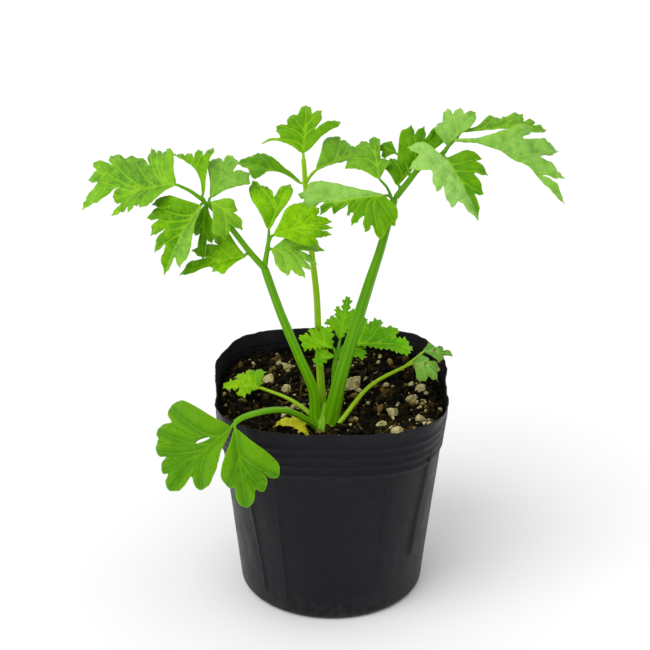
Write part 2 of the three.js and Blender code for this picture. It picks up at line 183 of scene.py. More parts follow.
def leaf_material(name, dark, mid, light, vein, under, spots=0.0):
    """A lobed blade: paler ribs and nerves, a fine net of veins, mottled greens and a paler underside."""
    n = Nodes(name)
    blade = n.attribute("blade_xy", "Vector")
    aside = n.attribute("aside")
    gap = n.math("ABSOLUTE", aside)
    broad = n.noise(n.position(), 45, 3)
    patch = n.noise(blade, 0.28, 5, 0.62)
    mottle = n.noise(blade, 1.1, 3, 0.6)
    tone = n.times(broad, 0.5, n.times(mottle, 0.14, n.times(patch, 0.36)))
    body = n.ramp(tone, [(0.4, dark), (0.5, mid), (0.6, light)])
    # painted shade: one side of each rib is darker, for the lit and shaded halves of the folded blade
    body = n.blend(n.span(aside, -1.5, 1.5, 0.0, 0.25), body, dark)
    # painted shade: the shade attribute darkens leaflets that lie in shade, and the side of a leaflet away
    # from its sheen
    body = n.blend(n.attribute("shade"), body, dark)
    wander = n.times(n.math("SUBTRACT", patch, 0.5), 2.4)
    slant = n.times(gap, -1.05, n.math("ADD", n.attribute("along"), wander))
    wave = n.math("PINGPONG", slant, 1.45)
    nerve = n.span(wave, 0.0, 0.2, 1.0, 0.0)
    net = n.span(n.cells(blade, 0.95, "DISTANCE_TO_EDGE"), 0.0, 0.08, 1.0, 0.0)
    main = n.span(n.attribute("rib"), 0.4, 1.5, 1.0, 0.0)
    veins = n.math("MAXIMUM", n.times(main, 0.42), n.times(nerve, 0.16))
    veins = n.math("MAXIMUM", veins, n.times(net, 0.1))
    veins = n.times(veins, n.span(n.attribute("shade"), 0.5, 0.9, 1.0, 0.45))
    between = n.span(gap, 0.3, 2.2, 0.0, 0.22)
    top = n.blend(veins, n.blend(between, body, light), vein)
    # painted sheen: pale streaks along the nerves, standing in for the glossy reflection on the lit halves
    streaks = n.times(n.span(nerve, 0.0, 1.0, 1.0, 0.55), n.span(patch, 0.34, 0.56, 0.55, 1.0))
    top = n.blend(n.times(n.attribute("painted_sheen"), streaks), top, (0.33, 0.58, 0.15))
    top = n.blend(n.span(n.attribute("edge"), 0.0, 0.45, 0.4, 0.0), top, light)
    below = n.blend(n.times(veins, 0.8), n.blend(0.4, under, body), vein)
    colour = n.blend(n.attribute("upper"), below, top)
    if spots:
        speck = n.span(n.noise(blade, 0.34, 2), 0.62, 0.7, 0.0, spots)
        rim = n.span(n.attribute("edge"), 0.2, 1.6, 0.75 * spots, 0.0)
        rim = n.times(rim, n.span(n.noise(blade, 0.5, 2), 0.5, 0.62))
        colour = n.blend(n.math("MAXIMUM", speck, rim), colour, (0.19, 0.10, 0.02))
    rough = n.span(patch, 0.3, 0.75, 0.34, 0.5)
    grain = n.times(veins, -0.9, n.times(n.noise(blade, 2.2, 4), 0.6))
    return n.finish(
        colour,
        rough,
        Normal=n.bump(grain, 0.9, 0.0003),
        Subsurface_Weight=0.15,
        Subsurface_Radius=(0.5, 1.0, 0.1),
        Subsurface_Scale=0.001,
        Specular_IOR_Level=0.09,
    )


def stalk_material(name, low, mid, high, groove):
    """A ribbed leaf stalk: pale near the crown, with a lighter ridge and a darker groove between the ribs."""
    n = Nodes(name)
    along = n.attribute("along")
    stripe = n.attribute("stripe")
    body = n.ramp(n.span(along, 0, 90), [(0.0, low), (0.2, mid), (0.8, high)], True)
    fibre = n.noise(n.stretched(n.position(), (1100, 1100, 60)), 1, 3)
    # paler ridges and darker grooves: the stalk's own striping, with painted shade in the grooves and in the
    # channel facing the crown
    body = n.blend(n.span(stripe, 0.25, -0.9, 0.0, 0.6), body, groove)
    body = n.blend(n.span(fibre, 0.45, 0.7, 0.0, 0.28), body, high)
    blotch = n.noise(n.position(), 90, 3)
    body = n.blend(n.span(blotch, 0.5, 0.75, 0.0, 0.3), body, low)
    body = n.blend(n.attribute("shade"), body, groove)
    height = n.times(fibre, 0.4, n.times(stripe, 0.5))
    return n.finish(
        body,
        n.span(blotch, 0.3, 0.7, 0.3, 0.42),
        Normal=n.bump(height, 0.4, 0.00012),
        Subsurface_Weight=0.15,
        Subsurface_Radius=(0.6, 1.0, 0.15),
        Subsurface_Scale=0.0012,
        Specular_IOR_Level=0.13,
    )


def film_material():
    """Thin black nursery film: satin, with upright streaks, faint scuffs, dust low down and a greyer lip."""
    n = Nodes("pot_film")
    place = n.position()
    around = n.attribute("around", "Vector")
    streak = n.noise(n.stretched(around, (1.0, 1.0, 0.05)), 620, 4, 0.6)
    fine = n.noise(n.stretched(around, (1.0, 1.0, 0.02)), 1900, 2, 0.5)
    scuff = n.noise(place, 160, 6, 0.7, 0.6)
    cloud = n.noise(place, 28, 4, 0.6)
    body = n.ramp(cloud, [(0.3, (0.002, 0.002, 0.0042)), (0.7, (0.0036, 0.0036, 0.007))])
    body = n.blend(n.span(streak, 0.5, 0.78, 0.0, 0.5), body, (0.009, 0.009, 0.015))
    body = n.blend(n.span(scuff, 0.62, 0.78, 0.0, 0.3), body, (0.028, 0.028, 0.033))
    # painted reflection: the lip band is greyer, for the grey glossy band along the pot's lip
    body = n.blend(n.times(n.attribute("lip"), 0.5), body, (0.03, 0.03, 0.037))
    low = n.span(n.add("SeparateXYZ", {0: place}, "Z"), 0.0, 0.012, 0.5, 0.0)
    dust = n.times(low, n.span(n.noise(place, 420, 4), 0.45, 0.7))
    body = n.blend(dust, body, (0.045, 0.042, 0.038))
    rough = n.math("ADD", n.span(scuff, 0.35, 0.7, 0.0, 0.16), n.span(streak, 0.3, 0.7, 0.24, 0.38))
    first = n.bump(n.times(streak, 0.7, n.times(fine, 0.4)), 0.6, 0.0003)
    normal = n.bump(n.noise(place, 75, 5, 0.6), 0.5, 0.0016, Normal=first)
    inner = n.attribute("inner")
    soiled = n.times(inner, n.span(n.noise(place, 260, 5, 0.7), 0.5, 0.62, 0.0, 0.8))
    body = n.blend(soiled, body, (0.02, 0.013, 0.006))
    return n.finish(body, rough, Normal=normal, Specular_IOR_Level=n.span(inner, 0, 1, 0.16, 0.05))


def soil_material():
    n = Nodes("soil")
    place = n.position()
    clod = n.noise(place, 420, 6, 0.7)
    stops = [(0.34, (0.0013, 0.001, 0.0003)), (0.54, (0.005, 0.0036, 0.0008)), (0.7, (0.022, 0.015, 0.0025)),
             (0.88, (0.08, 0.055, 0.009))]
    body = n.ramp(n.times(n.attribute("tone"), 0.5, n.times(clod, 0.5)), stops)
    fibre = n.noise(n.stretched(place, (1.0, 3.4, 1.0)), 900, 3, 0.5, 1.4)
    body = n.blend(n.span(fibre, 0.64, 0.72, 0.0, 0.4), body, (0.07, 0.038, 0.012))
    height = n.times(n.noise(place, 1300, 5, 0.7), 0.6, clod)
    rough = n.span(clod, 0.3, 0.7, 0.62, 0.95)
    return n.finish(body, rough, Normal=n.bump(height, 0.9, 0.0006), Specular_IOR_Level=0.08)


def pumice_material(name, dark, mid, light):
    n = Nodes(name)
    place = n.position()
    pore = n.cells(place, 1500)
    coarse = n.noise(place, 480, 5, 0.65)
    body = n.ramp(coarse, [(0.3, dark), (0.5, mid), (0.7, light)])
    # painted shade: the pores are darkened towards the dark tone, for the shade inside them
    body = n.blend(n.span(pore, 0.0, 0.28, 0.55, 0.0), body, dark)
    stain = n.noise(place, 190, 3)
    body = n.blend(n.span(stain, 0.56, 0.72, 0.0, 0.55), body, (0.09, 0.06, 0.025))
    height = n.times(pore, 0.8, coarse)
    return n.finish(body, 0.88, Normal=n.bump(height, 0.8, 0.0004), Specular_IOR_Level=0.3)


def bark_material():
    n = Nodes("bark")
    place = n.position()
    grain = n.noise(n.stretched(place, (1.0, 1.0, 3.0)), 1100, 4)
    stops = [(0.25, (0.02, 0.012, 0.002)), (0.55, (0.09, 0.055, 0.01)), (0.85, (0.26, 0.18, 0.04))]
    body = n.ramp(n.times(n.attribute("tone"), 0.6, n.times(grain, 0.4)), stops)
    return n.finish(body, 0.85, Normal=n.bump(grain, 0.6, 0.0002), Specular_IOR_Level=0.12)


def floor_material():
    n = Nodes("floor")
    tone = n.ramp(n.noise(n.position(), 6, 2), [(0.3, (0.9, 0.9, 0.9)), (0.7, (0.93, 0.93, 0.93))])
    return n.finish(tone, 0.75, Specular_IOR_Level=0.2)


# ---- mesh helpers


def mesh_piece(name, verts, faces, material, slot, nodes=(), **layers):
    """A smooth mesh from millimetre points that rides on the root body, in place of the given CAD nodes."""
    data = bpy.data.meshes.new(name)
    data.from_pydata((np.asarray(verts, float) * MM).tolist(), [], faces)
    for key, values in layers.items():
        values = np.asarray(values, np.float32)
        kind, field = ("FLOAT_VECTOR", "vector") if values.ndim == 2 else ("FLOAT", "value")
        data.attributes.new(key, kind, "POINT").data.foreach_set(field, values.ravel())
    data.materials.append(material)
    data.polygons.foreach_set("use_smooth", [True] * len(data.polygons))
    data.validate()
    piece = bpy.data.objects.new(name, data)
    bpy.context.scene.collection.objects.link(piece)
    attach(piece, "root")
    if nodes:
        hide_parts(*nodes)
    return piece


def circle(count):
    """Evenly spaced angles round a full turn."""
    return [2 * math.pi * i / count for i in range(count)]


def tube_faces(rings, sides, start=0):
    """The faces between neighbouring rings of points."""
    faces = []
    for low in range(start, start + (rings - 1) * sides, sides):
        for i in range(sides):
            j = (i + 1) % sides
            faces.append((low + i, low + j, low + sides + j, low + sides + i))
    return faces


def closed_tube(rings, sides):
    """The faces of a tube with a flat face over each end."""
    last = (rings - 1) * sides
    return tube_faces(rings, sides) + [tuple(range(sides))[::-1], tuple(range(last, last + sides))]


def heaped(parts):
    """Many parts as one. Each part is its points, its faces and its values for each point."""
    faces, count = [], 0
    for points, shape, *_ in parts:
        faces += [tuple(i + count for i in face) for face in shape]
        count += len(points)
    points, _, *values = zip(*parts)
    return [np.concatenate(points), faces] + [np.concatenate(column) for column in values]


def rounded(points, share=0.32, steps=3):
    """A closed outline with each corner turned into a short curve."""
    out = []
    for i, corner in enumerate(points):
        start = corner.lerp(points[i - 1], share)
        end = corner.lerp(points[(i + 1) % len(points)], share)
        for k in range(steps + 1):
            t = k / steps
            out.append(start * (1 - t) ** 2 + corner * 2 * t * (1 - t) + end * t * t)
    return out


def divided(points, step):
    """A closed outline with no side longer than step."""
    out = []
    for i, point in enumerate(points):
        after = points[(i + 1) % len(points)]
        count = max(1, math.ceil((after - point).length / step))
        out += [point.lerp(after, k / count) for k in range(count)]
    return out


# ---- leaflets


def at(degrees, reach):
    angle = math.radians(degrees)
    return Vector((reach * math.sin(angle), reach * math.cos(angle)))


def notch_share(gap, reach, cut):
    """How far out the notch between two lobes lies: shallow between close lobes, at cut between parted."""
    t = min(max((math.radians(gap) * reach - CLOSE_LOBES) / (PARTED_LOBES - CLOSE_LOBES), 0), 1)
    return SHALLOW_NOTCH + (cut - SHALLOW_NOTCH) * t * t * (3 - 2 * t)


def shoulder(lobe, side, gap, cut):
    degrees, reach = lobe
    share = max(SHOULDER, (1 + notch_share(gap, reach, cut)) / 2)
    spread = min(gap * 0.4, math.degrees(LOBE_HALF_WIDTH / (reach * share)))
    return at(degrees + side * spread, reach * share)


def flank(lobe, side):
    """The outer edge of a blade's first or last lobe, from the neck outwards."""
    degrees, reach = lobe
    out = [at(degrees + side * OPEN_SIDE, NECK_HALF_WIDTH)]
    for share in (0.3, 0.6):
        half = LOBE_HALF_WIDTH * (share / SHOULDER) ** WEDGE_CURVE
        spread = min(OPEN_SIDE * 0.4, math.degrees(half / (reach * share)))
        out.append(at(degrees + side * spread, reach * share))
    return out


def lobe_end(left, tip, right, axis, serrate):
    """A lobe's end from shoulder to shoulder: a middle tooth with smaller blunt teeth beside it."""
    count = max(1, round((tip - left).length / serrate))
    depth = 0.17 if count == 1 else 0.26 / count

    def side(corner):
        run = tip - corner
        inward = (axis * run.dot(axis) - run) * -1
        out = []
        for i in range(count):
            out.append(corner + run * ((i + 0.42) / count) + inward * depth * 1.6)
            if i < count - 1:
                out.append(corner + run * ((i + 1) / count) - inward * depth * 0.2)
        return out

    return [left] + side(left) + [tip] + side(right)[::-1] + [right]


def serrated(points, pitch, depth):
    """The outline with small uneven teeth along its longer sides, each leaning to its lobe's tip."""
    out = []
    for i, start in enumerate(points):
        end = points[(i + 1) % len(points)]
        run = end - start
        count = round(run.length / pitch)
        out.append(start)
        if count < 1 or start.length < 2:
            continue
        outward = Vector((-run.y, run.x)).normalized()
        rising = end.length > start.length
        for k in range(count):
            size = depth * (0.65 + 0.5 * abs(math.sin(7.3 * i + 2.9 * k)))
            low, high = (0.12, 0.8) if rising else (0.88, 0.2)
            valley = start + run * ((k + low) / count) - outward * size * 0.4
            crest = start + run * ((k + high) / count) + outward * size * 0.6
            out += [valley, crest] if rising else [crest, valley]
    return out


def bulged(tip, notch, outward_turn, bulge):
    """A lobe's side, as one point between its tip and a notch, pushed outwards."""
    run = notch - tip
    aside = Vector((-run.y, run.x)) * outward_turn
    return tip.lerp(notch, 0.42) + aside * bulge


def rich_outline(rim, serrate, waist):
    """The outline of a blade whose rim is listed as tip, notch, tip and so on, in degrees and reach."""
    start, end = flank(rim[0], -1), flank(rim[-1], 1)[::-1]
    if waist:
        start = start[:1] + [at(*spot) for spot in waist[0]]
        end = [at(*spot) for spot in waist[1]] + end[-1:]
    chain = [start[-1]] + [at(*spot) for spot in rim] + [end[0]]
    points = list(start)
    bulge = 0.14 if serrate else 0.24
    for i in range(1, len(chain) - 1, 2):
        before, tip, after = chain[i - 1:i + 2]
        left, right = bulged(tip, before, -1, bulge), bulged(tip, after, 1, bulge)
        axis = (tip - (before + after) / 2).normalized()
        points += lobe_end(left, tip, right, axis, serrate) if serrate else [left, tip, right]
        if i + 2 < len(chain) - 1:
            points.append(after)
    return points + end


def blade_outline(lobes, cut, serrate=0):
    """The blade's outline, clockwise. Without a tooth size it is the plain outline of the CAD blade."""
    points = flank(lobes[0], -1)
    last = len(lobes) - 1
    for i, lobe in enumerate(lobes):
        degrees, reach = lobe
        before = degrees - lobes[i - 1][0] if i else OPEN_SIDE
        after = lobes[i + 1][0] - degrees if i < last else OPEN_SIDE
        left, right = shoulder(lobe, -1, before, cut), shoulder(lobe, 1, after, cut)
        tip = at(degrees, reach)
        if serrate >= LOBED:
            points += lobe_end(left, tip, right, at(degrees, 1), serrate)
        else:
            points += [left, tip, right]
        if i < last:
            shorter = min(reach, lobes[i + 1][1])
            share = notch_share(after, shorter, cut)
            if serrate:
                room = min(max((math.radians(after) * shorter - 8) / 8, 0), 1)
                share *= 1 - DEEPER * room
            points.append(at(degrees + after / 2, shorter * share))
    points += flank(lobes[last], 1)[::-1]
    return serrated(points, serrate, 0.5 * serrate) if 0 < serrate < LOBED else points


def facing_axes(azimuth, elevation):
    """Right, uphill and outward directions of a blade whose upper side looks to azimuth and elevation."""
    a, e = math.radians(azimuth), math.radians(elevation)
    normal = Vector((math.cos(e) * math.cos(a), math.cos(e) * math.sin(a), math.sin(e)))
    uphill = (Vector((0, 0, 1)) - normal * normal.z).normalized()
    return uphill.cross(normal), uphill, normal


def blade_base(node, facing, sag, cut, lobes):
    """Where the CAD blade's neck stands: its box's centre, less that of the same blade at the origin."""
    right, uphill, normal = facing_axes(*facing)
    longest = max(reach for _, reach in lobes)
    spots = []
    for p in blade_outline(lobes, cut):
        drop = sag * p.length_squared / longest**2
        spots += [right * p.x + uphill * p.y + normal * (skin - drop) for skin in (-CAD_HALF, CAD_HALF)]
    low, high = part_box(node)
    return (low + high) / (2 * MM) - Vector((np.min(spots, 0) + np.max(spots, 0)) / 2)


def ribs_of(lobes):
    """One line of points for each lobe's rib. The side ribs leave the main rib and bend out to their tips."""
    main_degrees, main_reach = max(lobes, key=lambda lobe: lobe[1])
    main = np.array(at(main_degrees, 1))
    lines = [np.outer(np.linspace(0, main_reach, 16), main)]
    for degrees, reach in lobes:
        if degrees == main_degrees:
            continue
        apart = abs(degrees - main_degrees)
        leave = max(0.03, 0.42 * (1 - apart / 80)) * min(main_reach, reach * 1.2)
        tip = np.array(at(degrees, reach))
        start = main * leave
        bend = start + main * 0.3 * np.linalg.norm(tip - start)
        t = np.linspace(0, 1, 15)[:, None]
        lines.append(start * (1 - t) ** 2 + bend * 2 * t * (1 - t) + tip * t * t)
    return lines


def rib_field(points, lines):
    """For each point of a blade: distance along and beside its nearest rib, and that rib's whole length."""
    best = np.full(len(points), 1e9)
    along, aside, whole = np.zeros(len(points)), np.zeros(len(points)), np.ones(len(points))
    for line in lines:
        travelled = np.linalg.norm(line[0])
        total = travelled + np.linalg.norm(np.diff(line, axis=0), axis=1).sum()
        for a, b in zip(line, line[1:]):
            run = b - a
            size = max(np.linalg.norm(run), 1e-9)
            t = np.clip(((points - a) @ run) / size**2, 0, 1)
            offset = points - a - t[:, None] * run
            gap = np.linalg.norm(offset, axis=1)
            side = np.where(offset[:, 0] * run[1] - offset[:, 1] * run[0] >= 0, 1.0, -1.0)
            near = gap < best
            best = np.where(near, gap, best)
            along = np.where(near, travelled + t * size, along)
            aside = np.where(near, gap * side, aside)
            whole = np.where(near, total, whole)
            travelled += size
    return along, aside, whole


def edge_distance(points, outline):
    """Distance from each point to the outline."""
    start = np.array(outline)
    run = np.roll(start, -1, 0) - start
    size = np.maximum((run**2).sum(1), 1e-9)
    out = np.empty(len(points))
    for i, p in enumerate(points):
        t = np.clip(((p - start) * run).sum(1) / size, 0, 1)
        out[i] = np.sqrt((((start + run * t[:, None]) - p) ** 2).sum(1).min())
    return out


def inside(points, outline):
    """True for each point that lies in the outline."""
    poly = np.array(outline)
    x, y = points[:, 0], points[:, 1]
    hit = np.zeros(len(points), bool)
    for (x0, y0), (x1, y1) in zip(poly, np.roll(poly, -1, 0)):
        if y0 != y1:
            hit ^= ((y0 > y) != (y1 > y)) & (x < (x1 - x0) * (y - y0) / (y1 - y0) + x0)
    return hit


def slit_outline(centre, degrees, half_length, half_width):
    way = at(degrees, 1)
    across = Vector((way.y, -way.x))
    return [centre + way * half_length * math.cos(t) + across * half_width * math.sin(t) for t in circle(16)]


def blade_flat(corners, blunt, lines, slit):
    """The blade's flat mesh: points, triangles and outline, with a row of points along each rib."""
    outline = divided(rounded(corners, blunt, 4), MESH_STEP * 1.5)
    hole = slit_outline(*slit) if slit else []

    def clear(spots, away):
        """The spots that lie in the blade and far enough from its edge and its slit."""
        spots = spots[inside(spots, outline)]
        spots = spots[edge_distance(spots, outline) > MESH_STEP * away]
        if hole:
            spots = spots[~inside(spots, hole) & (edge_distance(spots, hole) > MESH_STEP * 0.4)]
        return spots

    low, high = np.min(outline, 0), np.max(outline, 0)
    grid = []
    for row in range(int((high[1] - low[1]) / (MESH_STEP * 0.866)) + 1):
        y = low[1] + row * MESH_STEP * 0.866
        grid += [(x, y) for x in np.arange(low[0] + (row % 2) * MESH_STEP / 2, high[0], MESH_STEP)]
    grid = clear(np.array(grid), 0.45)
    grid = grid[np.abs(rib_field(grid, lines)[1]) > MESH_STEP * 0.45]
    ribs = []
    for line in lines:
        steps = np.concatenate([[0], np.cumsum(np.linalg.norm(np.diff(line, axis=0), axis=1))])
        places = np.arange(MESH_STEP, steps[-1] - MESH_STEP, MESH_STEP)
        ribs.append(np.column_stack([np.interp(places, steps, line[:, k]) for k in (0, 1)]))
    ribs = clear(np.vstack(ribs), 0.4)
    start = len(outline)
    points = [Vector(p) for spots in (outline, hole, ribs, grid) for p in spots]
    edges = [(start + i, start + (i + 1) % len(hole)) for i in range(len(hole))]
    flat, _, faces, *_ = delaunay_2d_cdt(points, edges, [list(range(start))], 1, 1e-3)
    flat = np.array(flat)
    if hole:
        middles = np.array([flat[list(face)].mean(0) for face in faces])
        faces = [face for face, gone in zip(faces, inside(middles, hole)) if not gone]
    return flat, faces, outline


def blade_height(flat, longest, sag, curl, seed, lines):
    """How far each point stands off the blade's plane: sag, folds at the ribs, waves and drooping tips."""
    size = np.clip(longest / 22, 0.3, 1.2)
    bend = curl * size
    along, aside, whole = rib_field(flat, lines)
    far = np.hypot(flat[:, 0], flat[:, 1])
    share = far / longest
    gap = np.abs(aside)
    off_neck = np.clip(far / 4, 0, 1)
    height = -sag * share**2
    height += 2.1 * bend * (1 - np.exp(-np.abs(beside_main(flat, lines)) / (6 * size))) * off_neck
    height += 0.8 * bend * (1 - np.exp(-gap / (2.6 * size))) * off_neck
    height += 0.15 * np.cos(2 * math.pi * (along - 1.05 * gap) / 2.9) * np.clip(gap / 1.5, 0, 1)
    height += 0.9 * bend * np.sin(4.0 * np.arctan2(flat[:, 0], flat[:, 1]) + seed) * share**1.5
    height -= 2.4 * bend * np.clip((along / whole - 0.6) / 0.4, 0, 1) ** 2
    waves = np.array([noise.noise(Vector((x * 0.15, y * 0.15, seed * 3.1))) for x, y in flat])
    ripples = np.array([noise.noise(Vector((x * 0.42, y * 0.42, seed * 1.7))) for x, y in flat])
    height += (1.4 * waves + 0.75 * ripples) * bend * np.clip(share * 1.6, 0, 1)
    return height, along, aside, whole


def beside_main(flat, lines):
    """Each point's distance from the main rib, positive on its right."""
    main = lines[0][-1] / np.linalg.norm(lines[0][-1])
    return flat[:, 0] * main[1] - flat[:, 1] * main[0]


def skin_faces(flat, triangles):
    """Faces for two copies of a flat mesh, one over the other, joined at their edges."""
    count = len(flat)
    faces, sides = [], set()
    for face in triangles:
        a, b, c = (flat[i] for i in face)
        if (b[0] - a[0]) * (c[1] - a[1]) - (b[1] - a[1]) * (c[0] - a[0]) < 0:
            face = face[::-1]
        faces += [tuple(face), tuple(i + count for i in reversed(face))]
        sides.update((face[i], face[(i + 1) % 3]) for i in range(3))
    return faces + [(b, a, a + count, b + count) for a, b in sides if (b, a) not in sides]


def make_blade(name, facing, sag, cut, lobes, material, slot, serrate=3.4, curl=1.0):
    """A thin closed leaflet in place of its CAD solid."""
    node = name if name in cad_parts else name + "_leaflet"
    base = blade_base(node, facing, sag, cut, lobes)
    seed = sum(map(ord, node)) % 97
    rim, waist = RIMS.get(name), WAISTS.get(name)
    if rim:
        lobes = rim[::2]
        corners = rich_outline(rim, 0 if name in SMOOTH else serrate, waist)
    else:
        corners = blade_outline(lobes, cut, serrate)
    lines = ribs_of(lobes)
    flat, triangles, outline = blade_flat(corners, 0.4 if serrate >= LOBED else 0.14, lines, SLITS.get(name))
    longest = max(reach for _, reach in lobes)
    height, along, aside, whole = blade_height(flat, longest, sag, curl, seed, lines)
    axes = np.array(facing_axes(*facing))
    edge = edge_distance(flat, outline)
    half = BLADE_THICKNESS / 2 * np.clip(edge / 0.5, 0.35, 1)
    skins = [np.column_stack([flat, height + side]) for side in (half, -half)]
    verts = np.vstack(skins) @ axes + np.array(base)
    painted_sheen_side, painted_sheen, shade, far_shade = PAINTED_SHEEN_AND_SHADE.get(name, (0, 0, 0, 0))
    # lit: the side of the main rib with the painted sheen; the painted far shade falls on the other side
    lit = np.clip(0.5 + beside_main(flat, lines) * painted_sheen_side, 0, 1) if painted_sheen_side else np.ones(len(flat))
    layers = {
        "along": along, "aside": aside, "edge": edge,
        "painted_sheen": painted_sheen * lit, "shade": shade + far_shade * (1 - lit),
        "rib": np.abs(aside) / (0.14 + 0.3 * np.clip(1 - along / whole, 0, 1)),
        "blade_xy": np.column_stack([flat, np.zeros(len(flat))]),
    }
    layers = {key: np.concatenate([values, values]) for key, values in layers.items()}
    layers["upper"] = np.repeat([1, 0], len(flat))
    mesh_piece(name + "_blade", verts, skin_faces(flat, triangles), material, slot, [node], **layers)
    rib = lines[0][-1]
    if waist:
        middle = (waist[0][0][0] + waist[1][-1][0]) / 2
        rib = np.array(at(middle, np.linalg.norm(rib)))
    petiole_ends[node] = (base, axes, rib)


petiole_ends = {}

# how a leaflet's painted light differs: the side of the main rib with a painted sheen, pale streaks for the
# glossy reflection (0 for both), the sheen's strength, how much painted shade darkens the leaflet, and how
# much painted shade darkens the side without the sheen
PAINTED_SHEEN_AND_SHADE = {
    "right_end_low": (1, 0.8, 0.15, 0.5), "right_end_side": (0, 0.5, 0.15, 0),
    "right_end_up": (0, 0.6, 0.05, 0), "right_end_back": (0, 0.2, 0.2, 0), "right_low": (1, 0.6, 0.2, 0.5),
    "right_up": (0, 0, 0.7, 0), "right_inner": (0, 0.1, 0.45, 0), "right_small": (0, 0, 0.7, 0),
    "centre_right": (0, 0.15, 0.4, 0), "centre_left": (-1, 0.1, 0.55, 0.3), "centre_end": (0, 0, 0.45, 0),
    "left_far": (0, 0.12, 0, 0), "left_up": (-1, 0.3, 0, 0.1), "left_fore": (-1, 0.3, 0, 0.1),
    "left_under": (0, 0, 0.7, 0), "left_side": (0, 0.1, 0.35, 0), "left_back": (0, 0.35, 0.05, 0),
    "left_inner_lower": (0, 0.25, 0.05, 0), "low_left_outer": (0, 0, 0.9, 0),
    "low_left_inner": (0, 0, 0.92, 0), "young_low_right": (0, 0, 0.4, 0),
}
# a torn slit in a blade: its centre, direction in degrees, half length and half width
SLITS = {"low_left_outer": (at(-122, 10.5), -118, 2.7, 0.5)}

# leaflets with broad rounded lobes and no teeth
SMOOTH = ("low_left_outer", "low_left_inner")
# richer rims for the leaflets seen best: tip, notch, tip and so on, in degrees from uphill and reach
RIMS = {
    "left_far": [
        [-132, 14], [-126, 13.5], [-128, 18.5], [-122, 17], [-122, 24.4], [-116, 19], [-110, 22.4],
        [-98, 18.5], [-108, 35], [-95, 27], [-91, 33.4], [-86, 29.5], [-80, 34], [-81, 24], [-72, 29.7],
        [-71, 22.4], [-64, 20.7], [-69, 10], [-46, 18.5], [-45, 14.4], [-40, 16.5], [-38, 12.2], [-33, 15]],
    "left_fore": [
        [-170, 21.3], [-162, 18], [-158, 25.6], [-147, 16.2], [-139, 22.2], [-131, 12.8], [-123, 21],
        [-115, 14.4], [-107, 20.4], [-101, 8.8], [-95, 18.5]],
    "left_up": [
        [-41, 26.8], [-39, 20.5], [-34, 21.3], [-31, 17.6], [-26, 19.4], [-22, 14.6], [-15, 18.8], [-8, 13.2],
        [0, 19.4]],
    "right_end_up": [[-22, 9], [-10, 8.6], [1, 14.4], [10, 11], [18, 15], [27, 12.4], [36, 16.8]],
    "right_end_back": [[72, 15], [81, 17], [79, 25.5], [86, 24], [85, 29.5], [90, 27], [92, 33]],
    "right_end_side": [[82, 31], [95, 23], [97, 38.6], [107, 29], [112, 41], [117.5, 31], [123, 43.5]],
    "right_end_low": [
        [89, 12.3], [100, 9.5], [110, 15], [126, 10], [136, 17], [146, 14.6], [154, 22.5], [167, 14.2],
        [177, 16.4], [189, 9.4], [199, 12], [228, 6.5], [260, 12.6], [279, 8.4], [296, 13.8]],
    "centre_end": [
        [-71, 15], [-55, 8.6], [-36, 14.4], [-24, 11.4], [-14, 15.6], [-3, 14.6], [7, 20.4], [15, 14.6],
        [24, 19], [27, 8], [47, 19.4]],
    "centre_left": [[-78, 16.5], [-73, 19], [-64, 27], [-57, 22], [-46, 22.8]],
    "centre_right": [[34, 18.4], [41, 15.2], [47, 19.2], [52, 16.6], [56, 22.5], [62, 20], [67, 24.5]],
    "right_low": [
        [153, 11.2], [164, 10.6], [177, 16], [190, 11.8], [199, 14.4], [211, 9.6], [221, 14.8], [231, 11.4],
        [240, 13.8], [262, 9.4], [248, 17.6], [254, 17.4], [251, 22.4], [262, 19.2], [259, 32.5], [266, 26],
        [271, 29.8]],
    "left_inner_upper": [
        [39, 15.8], [46, 14.8], [52, 18.6], [60, 15.6], [69, 20.6], [72, 14.6], [77, 20.2], [80, 14.6],
        [86, 19.4], [91, 13.4], [98, 15]],
    "left_inner_lower": [
        [68, 15.5], [75, 11], [85, 19], [95, 8], [107, 16], [114, 10], [120, 14.8], [128, 11], [135, 14.4],
        [146, 9.4], [157, 10.4]],
    "low_left_outer": [
        [-160, 23.4], [-147, 20.4], [-139, 30.6], [-130, 26.8], [-126, 29], [-119, 24.5], [-113, 28.2],
        [-105, 25.6], [-98, 27], [-92, 20.8], [-78, 24.4]],
    "low_left_inner": [
        [138, 22.2], [147, 15.6], [154, 23], [161, 20.8], [172, 26.8], [180, 19.2], [187, 19.6]],
    "left_inner_end": [[-17, 19.4], [-10, 15.8], [-2, 16], [9, 11], [21, 20]],
}

# the two outer edges of leaflets that stay narrow for a way, from the neck out and from the last lobe back
WAISTS = {
    "right_end_side": ([[98, 7], [90, 14], [84, 22]], [[118, 30], [115, 21], [109, 14], [106, 7]]),
    "right_end_back": ([[84, 6], [74, 9]], [[97, 28], [96, 22], [93, 15], [96, 8]]),
    "centre_end": ([[-64, 4], [-62, 9], [-67, 12.4]], [[50, 13], [50, 8.4], [66, 3.4]]),
    "centre_left": ([[-58, 4.5], [-61, 9], [-68, 13.5]], [[-47, 17.5], [-46, 12], [-44, 6]]),
    "left_up": ([[-16, 4.5], [-24, 10.2], [-36, 17.4]], [[3, 14.2], [3, 7.4]]),
}

